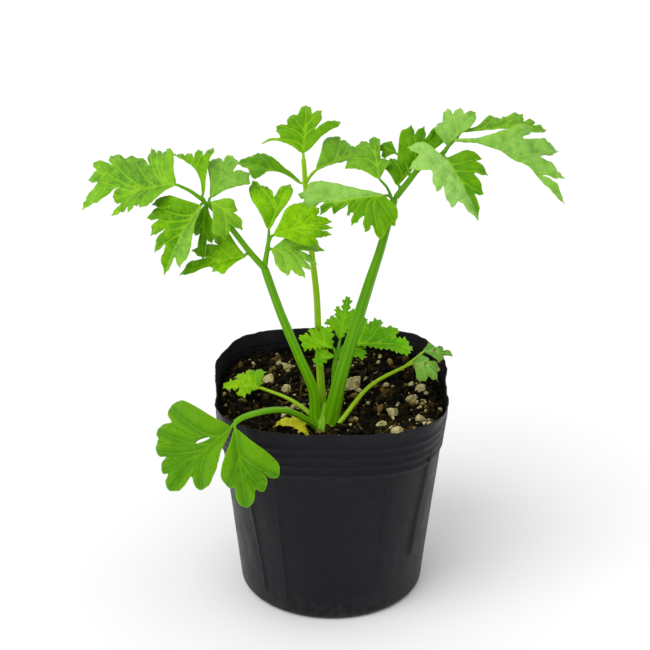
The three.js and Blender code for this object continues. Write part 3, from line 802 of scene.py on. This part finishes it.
# [name, facing, sag, cut, lobes], each as its CAD solid was drawn
GREEN_LEAFLETS = [
    ["left_basal", [-95, 50], 4, 0.62, [[-115, 12], [-104, 23], [-81, 19], [-56, 14]]],
    ["left_inner_lower", [-80, 55], 4, 0.7, [[61, 11], [85, 19], [107, 16], [132, 14], [152, 12]]],
    ["left_inner_upper", [-92, 45], 3, 0.75, [[41, 15], [54, 18], [70, 20], [86, 19], [100, 14]]],
    ["left_inner_end", [-90, 45], 3, 0.6, [[-16, 20], [6, 15], [30, 20]]],
    ["left_far", [-110, 50], 6, 0.6,
     [[-132, 14], [-123, 24], [-107, 35], [-78, 33], [-66, 20], [-46, 18], [-33, 15]]],
    ["left_fore", [-110, 40], 6, 0.66, [[-169, 22], [-156, 27], [-140, 23], [-120, 22], [-100, 20]]],
    ["left_under", [-100, 30], 2, 0.75, [[-192, 13], [-179, 18], [-164, 11]]],
    ["left_up", [-100, 50], 4, 0.66, [[-41, 27], [-26, 22], [-3, 19]]],
    ["left_back", [-80, 50], 3, 0.7, [[16, 17], [29, 20], [58, 17]]],
    ["left_side", [-80, 55], 4, 0.7, [[108, 9], [132, 13], [165, 13]]],
    ["centre_end", [-85, 45], 5, 0.62, [[-68, 14], [-44, 13], [-13, 15], [8, 20], [23, 18], [47, 19]]],
    ["centre_left", [-95, 60], 4, 0.62, [[-82, 17], [-64, 27], [-46, 22]]],
    ["centre_right", [-80, 60], 4, 0.66, [[32, 19], [49, 22], [73, 17], [99, 17]]],
    ["right_inner", [-100, 55], 4, 0.7, [[-56, 15], [-27, 19], [-14, 20], [6, 9]]],
    ["right_small", [-90, 60], 2, 0.75, [[-100, 5], [-62, 8], [-38, 7]]],
    ["right_low", [-100, 50], 5, 0.66,
     [[-207, 12], [-181, 16], [-161, 14], [-141, 15], [-114, 20], [-101, 31], [-88, 28]]],
    ["right_up", [-90, 35], 3, 0.7, [[-13, 10], [13, 22], [24, 23], [36, 28]]],
    ["right_end_low", [-85, 50], 4, 0.62,
     [[-250, 15], [-224, 17], [-207, 22], [-183, 17], [-161, 12], [-97, 13], [-66, 14]]],
    ["right_end_side", [-75, 50], 6, 0.5, [[83, 23], [97, 38], [110, 40], [124, 42]]],
    ["right_end_back", [-70, 50], 3, 0.6, [[62, 17], [72, 29], [83, 35]]],
    ["right_end_up", [-90, 48], 1, 0.7, [[-26, 10], [2, 18], [15, 19], [32, 19]]],
    ["low_left_outer", [-105, 40], 6, 0.66, [[-160, 23], [-140, 31], [-117, 28], [-98, 26], [-73, 21]]],
    ["low_left_inner", [-90, 35], 4, 0.72, [[118, 15], [139, 22], [154, 23], [171, 26], [185, 19]]],
]
YOUNG_LEAFLETS = [
    ["young_low_left", [-72, 40], 1, 0.8, [[-92, 7], [-64, 6]]],
    ["young_left", [-68, 30], 1.5, 0.75, [[-62, 12], [-42, 10], [-16, 8]]],
    ["young_end", [-90, 40], 2, 0.8, [[-18, 9], [-4, 12], [10, 16], [24, 12]]],
    ["young_right", [-75, 50], 3, 0.8, [[47, 13], [63, 17], [79, 21], [95, 25]]],
    ["young_low_right", [-80, 50], 1, 0.8, [[66, 9], [86, 8]]],
]
OLD_LEAFLETS = [
    ["low_right_front", [-75, 65], 2, 0.78, [[66, 7], [104, 10], [131, 10], [160, 8]]],
    ["low_right_back", [-60, 60], 2, 0.78, [[76, 6], [89, 9], [107, 12], [126, 8]]],
    ["small_left", [-100, 60], 1, 0.7, [[-111, 8], [-89, 13], [-62, 10], [-36, 9], [-12, 8]]],
]
FALLEN_LEAF = ["fallen_leaf", [-100, 78], 0.6, 0.8, [[-86, 7], [-56, 6], [-20, 5], [100, 5], [124, 7]]]


def make_leaves():
    green = leaf_material("leaf", (0.045, 0.19, 0.0003), (0.145, 0.39, 0.0003), (0.29, 0.58, 0.0006),
                          (0.37, 0.64, 0.008), (0.16, 0.36, 0.004))
    young = leaf_material("young_leaf", (0.06, 0.28, 0.0005), (0.125, 0.43, 0.0008), (0.28, 0.6, 0.002),
                          (0.38, 0.68, 0.02), (0.18, 0.42, 0.01))
    old = leaf_material("old_leaf", (0.06, 0.24, 0.015), (0.14, 0.38, 0.035), (0.26, 0.48, 0.07),
                        (0.36, 0.58, 0.14), (0.2, 0.4, 0.08), spots=0.8)
    yellow = leaf_material("fallen_leaf", (0.34, 0.34, 0.002), (0.52, 0.52, 0.004), (0.64, 0.62, 0.02),
                           (0.66, 0.6, 0.08), (0.5, 0.46, 0.06), spots=0.5)
    for row in GREEN_LEAFLETS:
        make_blade(*row, green, "leaf")
    for row in YOUNG_LEAFLETS:
        make_blade(*row, young, "young_leaf", serrate=2.1, curl=0.9)
    for row in OLD_LEAFLETS:
        small = row[0] == "small_left"
        make_blade(*row, green if small else old, "old_leaf", serrate=2.2 if small else 3.1, curl=0.8)
    make_blade(*FALLEN_LEAF, yellow, "fallen_leaf", serrate=2, curl=2.4)


# ---- stalks

# [points from the crown's top, radius at the start, radius at the end], one row for each branch
STALKS = {
    "left_stalk": [
        [[[-3.5, -0.6, 0.7], [-3.7, -0.8, 11], [-8.9, -3.7, 26.7], [-15.1, -7.7, 45.6], [-20.1, -10.7, 63.2]],
         2.2, 1.5],
        [[[-19.8, -10.6, 62.2], [-24.3, -11.2, 68], [-32.7, -9.7, 79], [-39.2, -8.7, 85.6]], 1.2, 0.8],
        [[[-38.8, -8.8, 85.2], [-44.3, -7.9, 89.1], [-47.8, -7.7, 90.8]], 0.8, 0.5],
        [[[-20, -10.7, 62.4], [-19.1, -10.2, 68.4], [-18.4, -8.9, 72.8]], 1, 0.6],
    ],
    "centre_stalk": [
        [[[-0.8, 3.7, 0.7], [-1.5, 6.8, 12], [-2.2, 10.2, 24], [-2.9, 11.4, 42], [-4.8, 12.4, 60],
          [-6.4, 15.3, 78], [-7.3, 17.2, 90.6]], 1.5, 0.8],
        [[[-6.7, 15.9, 81.4], [-5, 15.5, 84.5], [-4, 15.3, 85.8]], 0.6, 0.45],
    ],
    "right_stalk": [
        [[[1.9, -0.8, 1.3], [5.1, 0.3, 15.8], [9.8, 0.8, 33.6], [15.1, 1.3, 52.5], [18.4, 1.5, 63.6],
          [23.2, 2.3, 82.7]], 3, 1.3],
        [[[22.9, 2.3, 81.6], [27.8, 2.8, 88.2], [31, 3.3, 92.3], [35.3, 3.8, 94.9], [39.6, 4.2, 97.4]],
         1.1, 0.8],
        [[[39, 4.1, 97.2], [40.2, 4.6, 98.8], [41.2, 5, 100.3]], 0.7, 0.5],
        [[[37.4, 4, 96.2], [39, 6, 97], [40.2, 7.3, 98]], 0.6, 0.45],
        [[[35.3, 3.8, 94.9], [38.6, 8.4, 95.6], [42.4, 12, 98.2], [44.7, 13, 100.4]], 0.6, 0.45],
    ],
    "young_stalk": [
        [[[2.6, 4.4, 0.7], [2.9, 4.4, 10], [3.2, 5.2, 17.5], [4.2, 6.6, 22]], 0.9, 0.7],
    ],
}
STALK_SIDES = 32
RIB_COUNT = 7
RIB_DEPTH = 0.05
GROOVE_DEPTH = 0.26


def through(points, count):
    """Evenly numbered points on a centripetal curve through the given points."""
    spots = [Vector(p) for p in points]
    spots = [spots[0] * 2 - spots[1]] + spots + [spots[-1] * 2 - spots[-2]]
    spans = len(points) - 1
    out = []
    for k in range(count + 1):
        place = min(k / count * spans, spans - 1e-9)
        i = int(place)
        w = place - i
        p0, p1, p2, p3 = spots[i:i + 4]
        d0, d1, d2 = (max((b - a).length**0.5, 1e-4) for a, b in ((p0, p1), (p1, p2), (p2, p3)))
        m1 = ((p1 - p0) / d0 - (p2 - p0) / (d0 + d1) + (p2 - p1) / d1) * d1
        m2 = ((p2 - p1) / d1 - (p3 - p1) / (d1 + d2) + (p3 - p2) / d2) * d1
        out.append(p1 + m1 * w + ((p2 - p1) * 3 - m1 * 2 - m2) * w**2 + ((p1 - p2) * 2 + m1 + m2) * w**3)
    return out


def swept(points, start_radius, end_radius):
    """One branch: ribbed rings of points with a groove on the side that faces the crown, and round ends."""
    length = sum((b - a).length for a, b in zip(points, points[1:]))
    count = max(8, int(length / 0.8))
    path = through(points, count)
    verts, along, stripe = [], [], []
    travelled = (points[0] - crown_top).length
    flare = 0.55 if travelled < 8 else 0
    side = None
    for k, spot in enumerate(path):
        tangent = (path[min(k + 1, count)] - path[max(k - 1, 0)]).normalized()
        guide = side or Vector((crown_top.x - spot.x + 0.01, crown_top.y - spot.y, 0))
        side = (guide - tangent * guide.dot(tangent)).normalized()
        across = tangent.cross(side)
        radius = start_radius + (end_radius - start_radius) * k / count
        radius *= 1 + flare * math.exp(-max(travelled, 0) / 8)
        from_end = min(k, count - k) * length / count
        radius *= math.sqrt(max(1 - max(1 - from_end / radius, 0) ** 2, 0.02))
        if k:
            travelled += (spot - path[k - 1]).length
        for angle in circle(STALK_SIDES):
            wave = math.cos(RIB_COUNT * angle)
            dip = GROOVE_DEPTH * math.exp(-((1 - math.cos(angle)) / 0.16))
            wobble = 0.03 * noise.noise(Vector((spot.x * 0.2 + math.cos(angle), spot.y * 0.2, spot.z * 0.2)))
            reach = radius * (1 + RIB_DEPTH * wave - dip + wobble)
            verts.append(spot + side * (math.cos(angle) * reach) + across * (math.sin(angle) * reach))
            along.append(travelled)
            stripe.append(wave - 2.2 * dip)
    return np.array(verts), closed_tube(count + 1, STALK_SIDES), along, stripe


def make_stalk(name, branches, material, slot, shade=0.0):
    """A leaf stalk, its branches and the short stalks to its leaflets, in one mesh."""
    lines = [np.array(through(points, 60)) for points, _, _ in branches]
    leaf = name.removesuffix("stalk")
    ends = [leaflet_stalk(node, lines) for node in petiole_ends if node.startswith(leaf)]
    verts, faces, along, stripe = heaped([swept(*branch) for branch in branches + ends])
    shades = np.full(len(verts), shade)
    mesh_piece(name + "_stem", verts, faces, material, slot, [name], along=along, stripe=stripe, shade=shades)


def rooted(foot, rest, share, drop, lean):
    """A stalk's points, with its foot carried down into the crown."""
    inner = Vector((foot.x * share, foot.y * share, -drop))
    return [crown_top + inner, crown_top + foot.lerp(inner, lean)] + rest


def leaflet_stalk(node, lines):
    """The short stalk from the nearest point of a leaf's stalk to a leaflet, and on along its main rib."""
    base, axes, rib = petiole_ends[node]
    spots = np.vstack(lines)
    near = np.argmin(np.linalg.norm(spots - np.array(base), axis=1))
    heading = np.vstack([np.gradient(line, axis=0) for line in lines])[near]
    joint = Vector(spots[near])

    def under(share, drop):
        return Vector(np.array([*(rib * share), -drop]) @ axes) + base

    back = joint - Vector(heading).normalized() * 2.2
    return [back, joint.lerp(base, 0.5), under(0.02, 0.25), under(0.14, 0.45)], 0.62, 0.25


def make_stalks():
    green = stalk_material("stalk", (0.21, 0.49, 0.006), (0.145, 0.41, 0.001), (0.125, 0.36, 0.0006),
                           (0.05, 0.2, 0.0003))
    pale = stalk_material("pale_stalk", (0.38, 0.6, 0.04), (0.35, 0.58, 0.01), (0.34, 0.57, 0.008),
                          (0.15, 0.38, 0.003))
    for name, rows in STALKS.items():
        material, slot = (pale, "pale_stalk") if name == "centre_stalk" else (green, "stalk")
        branches = []
        for i, (points, start, end) in enumerate(rows):
            path = [crown_top + Vector(p) for p in points]
            if i == 0:
                path = rooted(Vector(points[0]), path[1:], 0.45, 4, 0.35)
            branches.append((path, start, end))
        make_stalk(name, branches, material, slot, 0.35 if name == "right_stalk" else 0.1)
    make_low_stalks(green, pale)


def make_low_stalks(green, pale):
    """The three stalks that lie low: two out over the rim and one over the soil."""
    leaflets = "low_left_outer_leaflet", "low_right_front_leaflet", "small_left_leaflet"
    left, right, small = (petiole_ends[node][0] for node in leaflets)

    def between(end, share, z):
        spot = crown_top.lerp(end, share)
        return Vector((spot.x, spot.y, z))

    over_rim = POT_HEIGHT + 3
    left_path = [between(left, 0.45, over_rim), between(left, 0.85, over_rim + 2.5)]
    left_path.append(left + Vector((1, 1, 1.4)))
    right_path = [between(right, 0.5, over_rim - 1), right + Vector((-1.2, 0.4, -0.2))]
    small_path = [between(small, 0.5, SOIL_LEVEL + 6), small + Vector((1.3, -0.2, -0.2))]
    for name, foot, rest, start, end, material in (
        ("low_left_stalk", (-4.9, -3.8, 0.9), left_path, 1.3, 0.9, green),
        ("low_right_stalk", (6.2, -2.4, 1.2), right_path, 0.95, 0.6, pale),
        ("small_left_stalk", (-4.9, 2.4, 0.7), small_path, 0.85, 0.5, pale),
    ):
        make_stalk(name, [(low_rooted(foot, rest), start, end)], material, "stalk")


def low_rooted(foot, rest):
    return rooted(Vector(foot), rest, 0.4, 3, 0.3)


def make_crown():
    """The short pale clump that the stalks rise from: overlapping sheaths round a ribbed core."""
    radius = (crown_high.x - crown_low.x) / (2 * MM)
    profile = [(-12, 0.0), (-12, 0.5), (-8, 0.8), (-4, 0.94), (-1.2, 0.98), (0.6, 0.9), (2.2, 0.74),
               (4.5, 0.5), (6.5, 0.34), (8, 0.18), (8.4, 0.0)]
    rows, columns = 60, 120
    steps = np.linspace(0, len(profile) - 1, rows)
    heights, shares = (np.interp(steps, range(len(profile)), column) for column in zip(*profile))
    verts = []
    for height, share in zip(heights, shares):
        for angle in circle(columns):
            x, y = math.cos(angle), math.sin(angle)
            sheath = 0.05 * abs(math.sin(2.5 * angle + 0.4)) + 0.02 * math.cos(19 * angle)
            rough = 0.05 * noise.noise(Vector((x * 2, y * 2, height * 0.4)))
            reach = radius * share * (0.95 + sheath + rough)
            verts.append((crown_top.x + reach * x, crown_top.y + reach * y, SOIL_LEVEL + height))
    count = len(verts)
    pale = stalk_material("crown", (0.24, 0.5, 0.02), (0.2, 0.47, 0.01), (0.18, 0.44, 0.008),
                          (0.08, 0.26, 0.003))
    stripe = np.cos(19 * np.linspace(0, 2 * math.pi * rows, count))
    mesh_piece("crown_clump", verts, closed_tube(rows, columns), pale, "crown", ["crown"],
               along=np.zeros(count), stripe=stripe)


# ---- pot

# direction in degrees, how far it stands out, half its width in degrees, and the heights it runs between
SEAMS = [(-40, 0.6, 0.8, 20, 68), (-62, 0.28, 0.7, 12, 66), (-134, 0.3, 0.9, 6, 68), (-118, 0.16, 0.8, 6, 68),
         (50, 0.5, 0.8, 6, 68), (130, 0.3, 0.9, 6, 68)]
POT_COLUMNS = 540
DRAIN_SIDES = 48
DRAINS = [at(degrees, DRAIN_OFFSET) for degrees in (45, 135, 225, 315)]


def plan_stretch(angle, z):
    power = 2 + (MOUTH_POWER - 2) * max(z / POT_HEIGHT, 0) ** 1.5
    return (abs(math.cos(angle)) ** power + abs(math.sin(angle)) ** power) ** (-1 / power)


def wall_radius(z):
    return BASE_RADIUS + (MOUTH - BASE_RADIUS) * z / POT_HEIGHT


def film_point(angle, z, inset):
    """A point of the film's skin: the pressed outline, the rings, the seams, crinkles and a wavy lip."""
    reach = wall_radius(z) * plan_stretch(angle, z)
    for ring in range(RING_COUNT):
        offset = (z - (POT_HEIGHT - FIRST_RING - RING_PITCH * ring)) / 1.15
        reach += 0.62 * math.exp(-offset * offset)
    degrees = math.degrees(angle)
    fade = min(max((z - 3) / 4, 0), 1)
    for place, proud, half, foot, top in SEAMS:
        offset = ((degrees - place + 180) % 360 - 180) / half
        if abs(offset) < 4:
            run = min(max((z - foot) / 3, 0), 1) * min(max((top - z) / 3, 0), 1)
            reach += proud * run * (math.exp(-offset * offset) - 0.5 * math.exp(-(offset - 1.6) ** 2))
    x, y = math.cos(angle), math.sin(angle)
    high = max(z / POT_HEIGHT, 0)
    crease = noise.noise(Vector((x * 2.3, y * 2.3, z * 0.018)))
    small = noise.noise(Vector((x * 9, y * 9, z * 0.05 + 7)))
    lip = max((z - (POT_HEIGHT - 6)) / 6, 0)
    reach += fade * (0.45 * high * crease + 0.14 * small)
    flutter = math.sin(9 * angle + 2.2 * crease) + noise.noise(Vector((x * 6, y * 6, 3)))
    reach += lip**2 * 0.5 * flutter
    reach += lip**4 * 0.35 * noise.noise(Vector((x * 17, y * 17, 5)))
    height = z - 0.3 * lip + lip * (0.5 * noise.noise(Vector((x * 5, y * 5, 11)))
                                    + 0.3 * noise.noise(Vector((x * 15, y * 15, 2))))
    reach -= inset
    return (reach * x, reach * y, height)


def plate(rim, z, up):
    """A flat disc with drain holes inside the given ring of points. Returns points and faces."""
    verts = [Vector(p[:2]) for p in rim]
    edges = [(i, (i + 1) % len(verts)) for i in range(len(verts))]
    for centre in DRAINS:
        start = len(verts)
        verts += [centre + at(math.degrees(t), DRAIN_RADIUS) for t in circle(DRAIN_SIDES)]
        edges += [(start + i, start + (i + 1) % DRAIN_SIDES) for i in range(DRAIN_SIDES)]
    for x in np.arange(-33, 33.1, 1.5):
        for y in np.arange(-33, 33.1, 1.5):
            spot = Vector((x, y))
            if spot.length < 30.5 and all(abs((spot - c).length - DRAIN_RADIUS) > 0.7 for c in DRAINS):
                verts.append(spot)
    out, _, faces, *_ = delaunay_2d_cdt(verts, edges, [], 0, 1e-6)
    kept = []
    for face in faces:
        middle = sum((out[i] for i in face), Vector((0, 0))) / len(face)
        if all((middle - c).length > DRAIN_RADIUS - 0.01 for c in DRAINS):
            a, b, c = (out[i] for i in face[:3])
            kept.append(tuple(face) if ((b - a).cross(c - a) > 0) == up else tuple(face)[::-1])
    return [(p.x, p.y, z) for p in out], kept


def make_pot():
    """The film pot as one closed skin: outer wall, lip, inner wall, floor plates and drain holes."""
    foot = [(BASE_CORNER * (1 - math.sin(t)), BASE_CORNER * (1 - math.cos(t)))
            for t in np.linspace(0, math.pi / 2, 6)[:-1]]
    heights = list(np.linspace(BASE_CORNER, POT_HEIGHT - 0.2, 170))
    outer = [(z, drop, 0) for drop, z in foot] + [(z, 0, 0) for z in heights] + [(POT_HEIGHT, FILM * 0.3, 1)]
    inner = [(POT_HEIGHT, FILM * 0.7, 1)] + [(z, FILM, z > POT_HEIGHT - 7) for z in heights[::-1]]
    inner += [(FILM + z, FILM + drop, 0) for drop, z in foot[:0:-1]]
    angles = circle(POT_COLUMNS)
    rows = outer + inner
    verts = [film_point(angle, z, inset) for z, inset, _ in rows for angle in angles]
    faces = tube_faces(len(rows), POT_COLUMNS)
    lip = np.repeat([float(tag) for _, _, tag in rows], POT_COLUMNS)
    inside_wall = np.repeat([float(k > len(rows) // 2) for k in range(len(rows))], POT_COLUMNS)
    parts = [(verts, faces, lip, inside_wall)]
    top = verts[-1][2]
    for ring, z, up in ((verts[:POT_COLUMNS], 0, False), (verts[-POT_COLUMNS:], top, True)):
        points, shape = plate(ring, z, up)
        parts.append((points, shape, np.zeros(len(points)), np.zeros(len(points))))
    for centre in DRAINS:
        ring = [centre + at(math.degrees(t), DRAIN_RADIUS) for t in circle(DRAIN_SIDES)]
        points = [(p.x, p.y, z) for z in (0, top) for p in ring]
        parts.append((points, tube_faces(2, DRAIN_SIDES), np.zeros(len(points)), np.zeros(len(points))))
    verts, faces, lip, inside_wall = heaped(parts)
    turns = np.arctan2(verts[:, 1], verts[:, 0])
    around = np.column_stack([np.cos(turns), np.sin(turns), verts[:, 2] * MM])
    piece = mesh_piece("film_pot", verts, faces, film_material(), "pot_film", ["pot"],
                       lip=lip, around=around, inner=inside_wall)
    weld(piece, 0.004)


def weld(piece, gap):
    """Joins points of a mesh that lie closer than gap, in millimetres."""
    work = bmesh.new()
    work.from_mesh(piece.data)
    bmesh.ops.remove_doubles(work, verts=work.verts, dist=gap * MM)
    work.to_mesh(piece.data)
    work.free()


# ---- soil


def soil_edge(angle, z):
    return (wall_radius(z) - 0.6) * plan_stretch(angle, z)


def soil_height(x, y):
    """The soil's top: the CAD mounds with clods on them."""
    mound = math.sin(0.31 * x + 0.8) * math.cos(0.27 * y) + 0.5 * math.sin(0.55 * y + 0.2 * x)
    clod = noise.noise(Vector((x * 0.28, y * 0.28, 2)))
    lump = noise.noise(Vector((x * 0.8, y * 0.8, 5)))
    grain = noise.noise(Vector((x * 2.1, y * 2.1, 9)))
    return SOIL_LEVEL - 0.3 + 0.7 * mound + 0.45 * clod + 0.3 * lump + 0.2 * grain


def make_soil(mix):
    columns, rings = 420, 110
    verts, tone = [(0, 0, soil_height(0, 0))], [0.5]
    for ring in range(1, rings + 1):
        for angle in circle(columns):
            reach = soil_edge(angle, SOIL_LEVEL) * ring / rings
            x, y = reach * math.cos(angle), reach * math.sin(angle)
            verts.append((x, y, soil_height(x, y)))
            tone.append(0.5 + 0.5 * noise.noise(Vector((x * 0.5, y * 0.5, 21))))
    sides = list(np.linspace(SOIL_LEVEL - 3, FILM + BASE_CORNER, 16)) + [FILM + 0.5]
    for z in sides:
        for angle in circle(columns):
            reach = soil_edge(angle, z) - 0.1 if z > FILM + 0.5 else BASE_RADIUS - 3.4
            verts.append((reach * math.cos(angle), reach * math.sin(angle), z))
    tone += [0.4] * (len(verts) - len(tone))
    faces = [(0, 1 + i, 1 + (i + 1) % columns) for i in range(columns)]
    faces += [face[::-1] for face in tube_faces(rings + len(sides), columns, 1)]
    faces.append(tuple(range(len(verts) - columns, len(verts)))[::-1])
    mesh_piece("soil_body", verts, faces, mix, "soil", ["soil"], tone=tone)


def ball(level):
    """Points and faces of a unit sphere built from triangles."""
    work = bmesh.new()
    bmesh.ops.create_icosphere(work, subdivisions=level, radius=1)
    work.verts.ensure_lookup_table()
    points = np.array([tuple(v.co) for v in work.verts])
    faces = [tuple(v.index for v in f.verts) for f in work.faces]
    work.free()
    return points, faces


def broken(points, cuts, rounding=9.0):
    """A sphere's points pulled in by random flats, so it reads as a broken crumb."""
    flats = draw.normal(size=(cuts, 3))
    flats /= np.linalg.norm(flats, axis=1)[:, None]
    depth = draw.uniform(0.62, 0.95, cuts)
    press = np.maximum(points @ flats.T, 0.02) / depth
    reach = 1 / (np.log(np.exp(press * rounding).mean(1)) / rounding + 0.35)
    return points * np.clip(reach, 0.3, 1.4)[:, None]


def spun():
    """A random turn, as a matrix."""
    return np.linalg.qr(draw.normal(size=(3, 3)))[0]


def scatter_spot(outer=0.97):
    angle = draw.uniform(0, 2 * math.pi)
    reach = math.sqrt(draw.uniform(0, outer**2)) * soil_edge(angle, SOIL_LEVEL)
    return reach * math.cos(angle), reach * math.sin(angle)


def clear_of_stones(x, y, size):
    """True where a crumb of this size doesn't cover one of the pumice stones."""
    return all(math.hypot(x - a, y - b) > reach + size * 0.4 for a, b, reach in stone_places)


def strew(name, parts, material, slot):
    verts, faces, tone = heaped(parts)
    mesh_piece(name, verts, faces, material, slot, tone=tone)


def crumbs(name, count, small, large, material, slot):
    """Many broken crumbs strewn on the soil, in one mesh."""
    points, shape = ball(2)
    parts = []
    for _ in range(count):
        x, y = scatter_spot()
        size = small + (large - small) * draw.random() ** 2.4
        if clear_of_stones(x, y, size):
            body = broken(points, 7) * (size / 2) * draw.uniform(0.7, 1.25, 3) @ spun()
            tone = np.full(len(points), draw.random())
            parts.append((body + (x, y, soil_height(x, y) + size * 0.3), shape, tone))
    strew(name, parts, material, slot)


def pebbles(name, around, material):
    """Small pumice pieces gathered about the larger stones, in one mesh."""
    points, shape = ball(3)
    parts = []
    for stone_x, stone_y, reach in stone_places:
        for _ in range(around):
            angle = draw.uniform(0, 2 * math.pi)
            away = reach + draw.uniform(0.6, 3.2)
            size = draw.uniform(1.1, 2.7)
            x, y = stone_x + away * math.cos(angle), stone_y + away * math.sin(angle)
            beside_crown = math.hypot(x - crown_top.x, y - crown_top.y) < 6.5
            if beside_crown or math.hypot(x, y) > 0.93 * soil_edge(math.atan2(y, x), SOIL_LEVEL):
                continue
            body = broken(points, 9) * (size / 2) @ spun()
            body *= 1 + 0.12 * roughness(body, 2.6, (x, y, 0))
            parts.append((body + (x, y, soil_height(x, y) + size * 0.22), shape, np.zeros(len(points))))
    strew(name, parts, material, "pumice")


def roughness(points, scale, shift=(0, 0, 0)):
    """Noise at each point, as a column."""
    return np.array([[noise.noise(Vector(p) * scale + Vector(shift))] for p in points])


def fibres(name, count, shortest, longest, thick, material):
    """Thin bent splinters and roots on the soil, in one mesh."""
    parts = []
    sides, steps = 6, 9
    for _ in range(count):
        x, y = scatter_spot(outer=0.93)
        heading = draw.uniform(0, 2 * math.pi)
        length = shortest + (longest - shortest) * draw.random() ** 2
        wide = thick * draw.uniform(0.5, 1.6)
        bend = draw.normal(0, 0.09)
        shade = draw.random()
        lift = draw.uniform(0.1, 0.7)
        verts = []
        for k in range(steps + 1):
            x += math.cos(heading) * length / steps
            y += math.sin(heading) * length / steps
            out = max(math.hypot(x, y) / soil_edge(math.atan2(y, x), SOIL_LEVEL), 0.95)
            x, y = x * 0.95 / out, y * 0.95 / out
            heading += bend + draw.normal(0, 0.05)
            share = k / steps
            z = soil_height(x, y) + lift * (0.4 + math.sin(math.pi * share))
            radius = wide / 2 * math.sqrt(max(1 - (2 * share - 1) ** 6, 0.05))
            for turn in circle(sides):
                beside = math.cos(turn) * radius
                verts.append((x - math.sin(heading) * beside, y + math.cos(heading) * beside,
                              z + math.sin(turn) * radius * 0.6))
        parts.append((verts, closed_tube(steps + 1, sides), np.full(len(verts), shade)))
    strew(name, parts, material, "soil")


def stones_of_frame():
    """Plan centre and radius of each pumice stone of the frame."""
    places = []
    for name in STONES:
        low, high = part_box(name)
        middle = (low + high) / (2 * MM)
        places.append((middle.x, middle.y, (high.x - low.x) / (2 * MM)))
    return places


def make_granules(material):
    """Pumice stones in place of the CAD ones, each wider and taller than its CAD stone's box."""
    points, shape = ball(5)
    for name in sorted(STONES):
        low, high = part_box(name)
        middle, half = (low + high) / (2 * MM), (high - low) / (2 * MM)
        body = broken(points, 11) @ spun()
        body *= 1 + 0.1 * roughness(body, 3.2, (half.x * 9, 0, 0)) + 0.045 * roughness(body, 9.5)
        body -= (body.max(0) + body.min(0)) / 2
        body *= STONE_SCALE * np.array(half) / np.abs(body).max(0)
        body[:, 2] = (body[:, 2] + 0.5 * half.z) * (1.45 if half.x > 2.2 else 1.1)
        mesh_piece(name + "_stone", body + np.array(middle), shape, material, "pumice", [name])


# ---- studio


def make_floor():
    size = 3.0
    data = bpy.data.meshes.new("floor")
    corners = [(-size, -size, 0), (size, -size, 0), (size, size, 0), (-size, size, 0)]
    data.from_pydata(corners, [], [(0, 1, 2, 3)])
    data.materials.append(floor_material())
    floor = bpy.data.objects.new("floor", data)
    bpy.context.scene.collection.objects.link(floor)


def make_studio():
    """An even white room with one wide soft light from the upper left."""
    world = bpy.data.worlds.new("studio")
    world.use_nodes = True
    sky = world.node_tree.nodes["Background"]
    sky.inputs["Color"].default_value = (1, 1, 1, 1)
    sky.inputs["Strength"].default_value = 0.82
    bpy.context.scene.world = world
    light = bpy.data.lights.new("key", "SUN")
    light.energy = 1.5
    light.angle = math.radians(48)
    lamp = bpy.data.objects.new("key", light)
    lamp.rotation_euler = Vector((0.55, 0.6, -1)).to_track_quat("-Z", "Y").to_euler()
    bpy.context.scene.collection.objects.link(lamp)
    bpy.context.scene.view_settings.view_transform = "Standard"


def make_camera():
    high = cad_box[1].z
    aim = Vector((crown_top.x * MM, crown_top.y * MM, high * 0.597))
    distance, elevation, azimuth = 0.821, math.radians(26.2), math.radians(-89.8)
    away = Vector((math.cos(elevation) * math.cos(azimuth), math.cos(elevation) * math.sin(azimuth),
                   math.sin(elevation)))
    lens = bpy.data.cameras.new("camera")
    lens.lens = 133.6
    lens.sensor_width = 36
    camera = bpy.data.objects.new("camera", lens)
    camera.location = aim + away * distance
    camera.rotation_euler = (-away).to_track_quat("-Z", "Y").to_euler()
    bpy.context.scene.collection.objects.link(camera)
    bpy.context.scene.camera = camera


STONES = [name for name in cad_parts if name.startswith("granule_")]
stone_places = stones_of_frame()
soil_mix, bark = soil_material(), bark_material()
stone = pumice_material("pumice", (0.22, 0.18, 0.05), (0.5, 0.45, 0.19), (0.68, 0.64, 0.36))

make_leaves()
make_stalks()
make_crown()
make_pot()
make_soil(soil_mix)
crumbs("soil_crumbs", 2600, 0.5, 2.6, soil_mix, "soil")
crumbs("bark_chips", 330, 0.7, 3, bark, "soil")
fibres("bark_fibres", 260, 2, 9, 0.34, bark)
crumbs("pumice_grit", 230, 0.5, 1.9, stone, "pumice")
pebbles("pumice_pebbles", 3, stone)
make_granules(stone)
make_floor()
make_studio()
make_camera()
